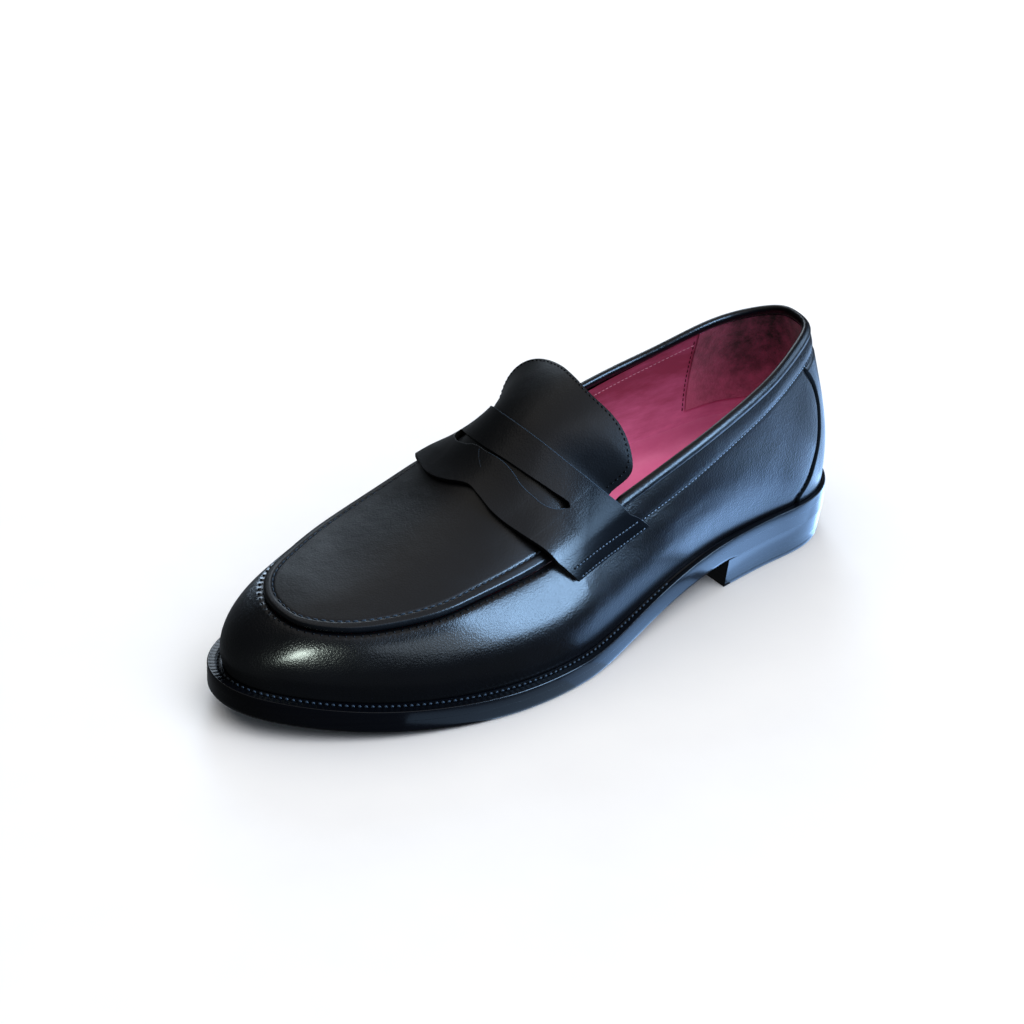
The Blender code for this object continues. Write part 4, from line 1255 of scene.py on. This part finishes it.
def make_tongue():
    """Tongue and its lining: a rounded tip, a strip hidden under the strap, and a stitch row."""
    rho = np.linspace(0, 1, 36)
    turn = np.linspace(0, np.pi, 141)
    tip = np.array([soft_tongue(*rounded_tip(size, turn)) for size in rho])
    r = np.concatenate([rho[::-1], -rho[1:]])
    places = np.linspace(-1, 0, TONGUE_HIDDEN_ROWS)
    hidden = np.array([soft_tongue(np.full(len(r), place), r) for place in places])
    points = np.concatenate([tip.reshape(-1, 3), hidden.reshape(-1, 3)])
    faces = grid_faces(len(rho), len(turn)) + grid_faces(TONGUE_HIDDEN_ROWS, len(r), len(rho) * len(turn))
    for name, finish, slot, nodes, thick, edge in (
            ("turned_tongue", SATIN_CALF, "black_calf", ("tongue",), TONGUE_THICK, 0.5),
            ("tongue_lining", LINING_CALF, "burgundy_lining", (), TONGUE_LINING_THICK, 0.2)):
        piece = add_piece(name, points, faces, finish, nodes, weld=WELD)
        turn_out(piece, TONGUE_SPOT, TONGUE_OUT)
        thicken(piece, thick, -1, edge)
    lining = piece.data
    at = np.array([v.co[:] for v in lining.vertices])
    middle = to_scene([TONGUE_MIDDLE])[0]
    drawn_in = middle + (at - middle) * TONGUE_LINING_SHARE - UP * TONGUE_LINING_DROP * MM
    lining.vertices.foreach_set("co", drawn_in.ravel())
    along, around = rounded_tip(TONGUE_SEAM, np.linspace(0.01, np.pi - 0.01, 260))
    path = soft_tongue(along, around)
    step_t = soft_tongue(np.clip(along - 0.02, 0, 1), around) - path
    step_r = soft_tongue(along, around * 0.98 + 0.002) - path
    normal = unit(np.cross(step_t, step_r))
    normal *= np.sign(normal[:, 2:3])
    sew("tongue_stitches", [(path, normal)], 2.2, 1.4, 0.8, BLACK_THREAD, sink=0.42)


# Roll of the topline: its middle above the rim, half its width and height, its lean in degrees,
# and how far its two ends run under the strap in stations and sink there
ROLL_UP = 1.3
ROLL_WIDE = 1.7
ROLL_TALL = 2.5
ROLL_LEAN = 15.0
ROLL_PAST = 0.3
ROLL_SINK = 2.2
ROLL_SIDES = 16


def make_binding():
    """Rolled edge along the topline, from the strap round the heel to the strap."""
    u = np.linspace(COUNT - THROAT - ROLL_PAST, COUNT + THROAT + ROLL_PAST, 381)
    rim = station(u)[:, RIM]
    rise = unit(rim - wall(u, 0.96))
    along = unit(np.gradient(rim, axis=0))
    out = unit(np.cross(rise, along))
    out *= np.sign(np.sum(out[:, :2] * outward(u), axis=1))[:, None]
    near = collar_height(u)[1]
    flare = collar_flare(near)[:, None]
    sunk = ROLL_SINK * smooth_step(THROAT - 0.05, THROAT + ROLL_PAST, near)[:, None]
    middle = rim - out * (UPPER_WALL / 2 - flare) + rise * (ROLL_UP - sunk)
    lean = np.radians(ROLL_LEAN)
    face = out * np.cos(lean) + rise * np.sin(lean)
    top = rise * np.cos(lean) - out * np.sin(lean)
    points = []
    for m in range(ROLL_SIDES):
        turn = 2 * np.pi * m / ROLL_SIDES
        points.extend(middle + ROLL_WIDE * np.cos(turn) * face + ROLL_TALL * np.sin(turn) * top)
    n = len(u)
    last = (ROLL_SIDES - 1) * n
    faces = grid_faces(ROLL_SIDES, n)
    faces.extend((last + j, last + j + 1, j + 1, j) for j in range(n - 1))
    faces.append(tuple(m * n for m in range(ROLL_SIDES)))
    faces.append(tuple(m * n + n - 1 for m in range(ROLL_SIDES)))
    add_piece("rolled_topline", np.array(points), faces, POLISHED_CALF, ("topline_binding",))


# Stitch row under the topline: where it leaves the stay and where it ends, in stations, and its depth in mm
STAY_PAST = 1.9
COLLAR_ROW_END = 6.0
COLLAR_ROW_DEPTH = 0.16


def make_collar_stitches():
    """Stitch row under the topline on both sides: grey along the quarters, where the grey paints the highlight
    the row catches, black over the stay.
    """
    near = np.linspace(0.0, COLLAR_ROW_END, 480)
    height = COLLAR_HEIGHT(near)[:, 0]
    beside = near > STAY_PAST
    rows = []
    back = []
    for u in (near, COUNT - near):
        path = wall(u, height)
        normal = unit(np.cross(wall(u, height + 0.01) - path, wall(u + 0.01, height) - path))
        path = path - normal * COLLAR_ROW_DEPTH
        rows.append((path[beside], normal[beside]))
        back.append((path[~beside], normal[~beside]))
    sew("collar_stitches", rows, 1.9, 1.15, 0.34, COLLAR_THREAD, sink=0.05)
    sew("collar_back_stitches", back, 2.3, 0.9, 0.5, BLACK_THREAD, sink=0.2)


# Back stay, in mm: rise of its face, sink and width of its soft edge, sink of its top and width of the ink;
# and the heights up the wall where its top starts to sink and is sunk
STAY_RISE = 0.45
STAY_EDGE_SINK = 0.7
STAY_EDGE_WIDE = 1.2
STAY_TOP_SINK = 0.5
INK_WIDE = 1.0
STAY_TOP = (0.885, 0.908)


def make_back_stay():
    """Stay down the back: a thin panel; its edge sinks into a groove and its top runs under the collar."""
    v = np.linspace(STAY[0][0] - 0.03, STAY[-1][0] + 0.01, 70)
    half = STAY_EDGE(v)[:, 0]
    share = np.linspace(-1, 1, 161)
    grid = np.array([wall(share * w % COUNT, h) for w, h in zip(half, v)])
    edge = (1 - np.abs(share))[None, :] * half[:, None] * HEEL_STATION
    lift = STAY_RISE - (STAY_RISE + STAY_EDGE_SINK) * np.clip(1 - edge / STAY_EDGE_WIDE, 0, 1) ** 2
    lift = lift - (STAY_RISE + STAY_TOP_SINK) * smooth_step(*STAY_TOP, v)[:, None]
    grid = grid + grid_normals(grid) * lift[:, :, None]
    faces = grid_faces(len(v), len(share))
    stay = add_piece("heel_back_stay", grid.reshape(-1, 3), faces, POLISHED_CALF,
                     ("back_stay",))
    stay.data.materials.append(SEAM_INK)
    inked = np.minimum(edge[:-1, :-1], edge[:-1, 1:]) < INK_WIDE
    stay.data.polygons.foreach_set("material_index", inked.ravel().astype(np.int32))


# Sole, in mm: pitch and depth of the wheel marks on the welt, the places along the foot where they start and
# are full, where the stitches start, and the depth of the stitch channels in the welt and the sole
WELT_COLUMNS = 1560
OUTSOLE_COLUMNS = 720
WHEEL_PITCH = 2.5
WHEEL_DEPTH = 0.14
WHEEL_PLACES = (70.0, 100.0)
WELT_SEWN_FROM = 112.0
CHANNEL_DEPTH = 0.35
SOLE_CHANNEL_DEPTH = 0.5


def make_welt():
    """Welt: rounded edge, wheel marks across its ledge and a stitch row in a channel."""
    u = round_the_shoe(WELT_COLUMNS)
    ledge = station(u)[:, LEDGE]
    inner = ledge + UPPER_WALL - 0.2
    low = OUTSOLE_THICK
    top = OUTSOLE_THICK + JOINT_GAP + WELT_THICK
    outline = inset(u, 0.0)
    wheeled = smooth_step(*WHEEL_PLACES, outline[:, 0])
    notch = wheeled * WHEEL_DEPTH * (0.5 + 0.5 * np.cos(2 * np.pi * run_along(outline) / WHEEL_PITCH)) ** 2
    channel = top - CHANNEL_DEPTH * wheeled
    rows = [(0.5, low), (0.0, low - 0.02), (0.0, low + 0.05), (0.0, top - 0.50), (0.08, top - 0.20),
            (0.25, top - 0.04), (0.50, top - 0.3 * notch), (0.95, top - notch), (ledge * 0.42, top - notch),
            (ledge * 0.55, top - 0.25 * notch), (ledge * 0.64, channel), (ledge * 0.76, channel),
            (ledge * 0.86, top), (inner, top), (inner, low)]
    faces = grid_faces(len(rows), WELT_COLUMNS, wrap=True)
    add_piece("wheeled_welt", ringed(u, rows), faces, EDGE, ("welt",))
    seam = np.linspace(4.3, COUNT - 4.3, 1200)
    path = raised(inset(seam, station(seam)[:, LEDGE] * 0.70), top - CHANNEL_DEPTH)
    path = path[path[:, 0] > WELT_SEWN_FROM]
    sew("welt_stitches", [(path, np.tile(UP, (len(path), 1)))], WHEEL_PITCH, 1.5, 0.85, APRON_THREAD,
        sink=0.12)


def make_outsole():
    """Outsole: slightly rounded edge, soft lower corner, and a stitch channel underneath."""
    u = round_the_shoe(OUTSOLE_COLUMNS)
    free = smooth_step(BREAST_X - 6, BREAST_X + 4, station(u)[:, 0])
    channel = SOLE_CHANNEL_DEPTH * free
    rows = [(9.0, 0.0), (7.4, 0.0), (7.0, channel), (6.4, channel), (6.0, 0.0), (0.9 * free, 0.0),
            (0.45 * free, 0.05 + 0.25 * free), (0.10 * free, 0.9), (0.0, 2.0), (0.0, OUTSOLE_THICK - 0.05),
            (0.0, OUTSOLE_THICK), (3.0, OUTSOLE_THICK)]
    faces = grid_faces(len(rows), OUTSOLE_COLUMNS, wrap=True)
    faces.extend(cap_faces(0, OUTSOLE_COLUMNS))
    faces.extend(cap_faces((len(rows) - 1) * OUTSOLE_COLUMNS, OUTSOLE_COLUMNS))
    add_piece("leather_outsole", ringed(u, rows), faces, EDGE, ("outsole",))


# Heel: the station at its breast, the angle in degrees that stays a crisp corner, and levels of its two pieces,
# each a distance in from the outline and a height, in mm
BREAST_STATION = 4
HEEL_CORNER = 40.0
HEEL_LEVELS = ((0.95, TOP_LIFT_THICK), (0.94, TOP_LIFT_THICK + 0.1), (0.5, 9.5), (0.08, HEEL_SEAT_Z - 0.9),
               (0.0, HEEL_SEAT_Z - 0.05), (0.0, HEEL_SEAT_Z))
LIFT_LEVELS = ((1.8, 0.0), (1.45, 0.35), (1.28, 1.0), (1.2, 2.1), (1.32, 2.3), (1.12, 2.5),
               (0.98, TOP_LIFT_THICK - 0.1), (0.97, TOP_LIFT_THICK))


def heel_ring(shrink, z):
    """Heel outline from breast corner to breast corner, moved in, at one height."""
    u = np.linspace(-BREAST_STATION, BREAST_STATION, 181)
    ring = inset(u % COUNT, shrink)
    ring[:, 0] = np.minimum(ring[:, 0], BREAST_X)
    ring[[0, -1], 0] = BREAST_X
    return np.column_stack([ring, np.full(len(ring), z)])


def heel_piece(name, node, levels, finish):
    """Heel piece through rings, with a straight breast and crisp corners."""
    rings = [heel_ring(shrink, z) for shrink, z in levels]
    n = len(rings[0])
    faces = grid_faces(len(rings), n, wrap=True)
    faces.append(tuple(range(n)))
    faces.append(tuple(range((len(rings) - 1) * n, len(rings) * n)))
    piece = add_piece(name, np.concatenate(rings), faces, finish, (node,), weld=WELD)
    piece.data.set_sharp_from_angle(angle=np.radians(HEEL_CORNER))


def make_heel():
    """Stacked heel and its rubber top lift."""
    heel_piece("stacked_heel", "heel_block", HEEL_LEVELS, EDGE)
    heel_piece("rubber_top_lift", "top_lift", LIFT_LEVELS, RUBBER)


make_walls()
make_apron()
make_lining()
make_heel_grip()
make_sock()
make_strap()
make_tongue()
make_binding()
make_collar_stitches()
make_back_stay()
make_welt()
make_outsole()
make_heel()


# Studio: pale floor, soft lights, and the camera at the photograph's angle
FLOOR_SIZE = 9.0


def floor_finish():
    """Matt white paper sweep: even, with the faintest fibre."""
    finish, tree, shader, place = new_finish("white_paper_sweep", {
        "Roughness": 0.9, "Specular IOR Level": 0.2})
    fibre = add_node(tree, "ShaderNodeTexNoise", {"Scale": per_metre(25), "Detail": 2.0}, {"Vector": place})
    tone = add_node(tree, "ShaderNodeMix", {"data_type": "RGBA", 6: linear("#f0f2f5"), 7: linear("#f4f6f8")},
                    {0: fibre.outputs["Fac"]})
    feed(tree, shader, {"Base Color": tone.outputs[2]})
    return finish


def make_floor():
    """White paper under the shoe."""
    bpy.ops.mesh.primitive_plane_add(size=FLOOR_SIZE, location=(0, 0, 0))
    floor = bpy.context.object
    floor.name = "floor"
    floor.data.materials.append(floor_finish())
    # The wax doesn't mirror the white paper, so the leather stays deep black.
    floor.visible_glossy = False


# Lamps: place in metres, the point each looks at, or None for straight up, size, watts, colour and
# what it lights. Flags keep a lamp off everything else, unless it lights all.
LAMPS = (
    ("sky_panel", (0.0, 0.0, 2.6), (0, 0, 0), (4.4, 4.4), 86.0, "#fff9f2", "all"),
    ("back_window", (-0.91, -1.45, 0.86), (0, 0, 0.05), (0.62, 1.15), 16.0, "#d8e8f8", "all"),
    ("right_window", (-0.22, 1.27, 1.53), (0, 0, 0.05), (1.9, 1.3), 17.0, "#f0f5ff", "all"),
    ("side_window", (-0.84, 1.26, 0.58), (0, 0, 0.05), (0.71, 0.75), 190.0, "#aad3ff", "leather"),
    ("front_window", (-0.13, 1.48, 0.26), (0.05, 0, 0.05), (0.9, 0.45), 20.0, "#d4e6f6", "vamp"),
    ("toe_lamp", (1.10, 0.72, 0.16), (0.1, 0.02, 0.03), (0.24, 0.30), 66.0, "#eefff4", "vamp"),
    ("heel_card", (-0.164, 0.045, 0.0005), None, (0.172, 0.025), 0.206, "#96c4ff", "leather"),
    ("heel_foot_card", (-0.164, 0.0252, 0.0005), None, (0.172, 0.0146), 0.06, "#96c4ff", "leather"),
    ("heel_back_card", (-0.158, 0.016, 0.0005), None, (0.05, 0.034), 0.05, "#a8d0ff", "leather"),
    ("waist_card", (-0.034, 0.047, 0.0005), None, (0.072, 0.022), 0.0275, "#96c4ff", "leather"),
    ("joint_card", (0.012, 0.053, 0.0005), None, (0.020, 0.022), 0.0058, "#a0c8fa", "sole"),
    ("sole_card", (0.060, 0.0585, 0.0005), None, (0.076, 0.017), 0.0130, "#a8ccf4", "sole"),
    ("rear_card", (-0.27, 0.06, 0.003), None, (0.20, 0.24), 0.7, "#a4ccff", "leather"),
    ("rear_window", (-1.47, 0.39, 0.54), (-0.1, 0, 0.06), (1.0, 0.9), 35.0, "#b2d6ff", "leather"),
    ("inner_window", (-0.52, -1.40, 0.42), (0, 0, 0.05), (1.0, 0.7), 40.0, "#c4dcf6", "vamp"),
    ("inside_lamp", (-0.05, 0.02, 0.90), (-0.06, -0.01, 0.03), (0.25, 0.25), 3.6, "#fff4f6", "inside"),
)
# Pieces inside the shoe; all others count as leather. Lamps for the vamp and the sole light a few pieces alone.
INSIDE = ("lining", "sock", "heel_grip", "lining_stitches", "heel_grip_stitches", "tongue_lining")
LIT_ALONE = {"vamp": ("vamp_and_quarters",), "sole": ("leather_outsole", "wheeled_welt")}


def lit_group(name, lit):
    """Group of the pieces that a flagged lamp falls on."""
    group = bpy.data.collections.new(name)
    for piece in bpy.context.scene.objects:
        if piece.type == "MESH" and piece.name != "floor":
            kind = "inside" if piece.name in INSIDE else "leather"
            if kind == lit or piece.name in LIT_ALONE.get(lit, ()):
                group.objects.link(piece)
    return group


def make_lamp(name, place, aim, size, watts, colour, lit):
    """Soft flat lamp that the camera doesn't see."""
    lamp = bpy.data.lights.new(name, "AREA")
    lamp.shape = "RECTANGLE"
    lamp.size, lamp.size_y = size
    lamp.energy = watts
    lamp.color = linear(colour)[:3]
    holder = bpy.data.objects.new(name, lamp)
    holder.location = place
    looks = Vector(aim or (place[0], place[1], 1.0)) - Vector(place)
    holder.rotation_euler = looks.to_track_quat("-Z", "Y").to_euler()
    holder.visible_camera = False
    bpy.context.scene.collection.objects.link(holder)
    if lit != "all":
        holder.light_linking.receiver_collection = lit_group(name + "_falls_on", lit)


def make_world():
    """Dim grey-blue room round the lamps."""
    world = bpy.data.worlds.new("studio")
    world.use_nodes = True
    sky = world.node_tree.nodes["Background"]
    sky.inputs["Color"].default_value = linear("#cfd9e4")
    sky.inputs["Strength"].default_value = 0.22
    bpy.context.scene.world = world


# Camera: the point it looks at and its distance in metres, its bearing, height and roll in degrees,
# and its lens and film width in mm
CAMERA_AIM = (-0.005471, -0.028905, 0.030)
CAMERA_AZIMUTH = 51.0
CAMERA_HEIGHT = 31.4805
CAMERA_ROLL = 3.1046
CAMERA_DISTANCE = 1.1182265
CAMERA_LENS = 96.24
CAMERA_FILM = 36.0


def make_camera():
    """Camera on its bearing, rolled a little, as the photograph was taken."""
    az, el, roll = np.radians([CAMERA_AZIMUTH, CAMERA_HEIGHT, CAMERA_ROLL])
    back = Vector((np.cos(az) * np.cos(el), np.sin(az) * np.cos(el), np.sin(el)))
    level = (-back).cross(Vector(UP)).normalized()
    upright = level.cross(-back)
    right = level * np.cos(roll) + upright * np.sin(roll)
    up = upright * np.cos(roll) - level * np.sin(roll)
    lens = bpy.data.cameras.new("photo_camera")
    lens.sensor_width = CAMERA_FILM
    lens.lens = CAMERA_LENS
    camera = bpy.data.objects.new("photo_camera", lens)
    turn = Matrix((right, up, back)).transposed().to_4x4()
    camera.matrix_world = Matrix.Translation(Vector(CAMERA_AIM) + back * CAMERA_DISTANCE) @ turn
    bpy.context.scene.collection.objects.link(camera)
    bpy.context.scene.camera = camera


make_floor()
for lamp_row in LAMPS:
    make_lamp(*lamp_row)
make_world()
make_camera()
bpy.context.scene.view_settings.view_transform = "Standard"
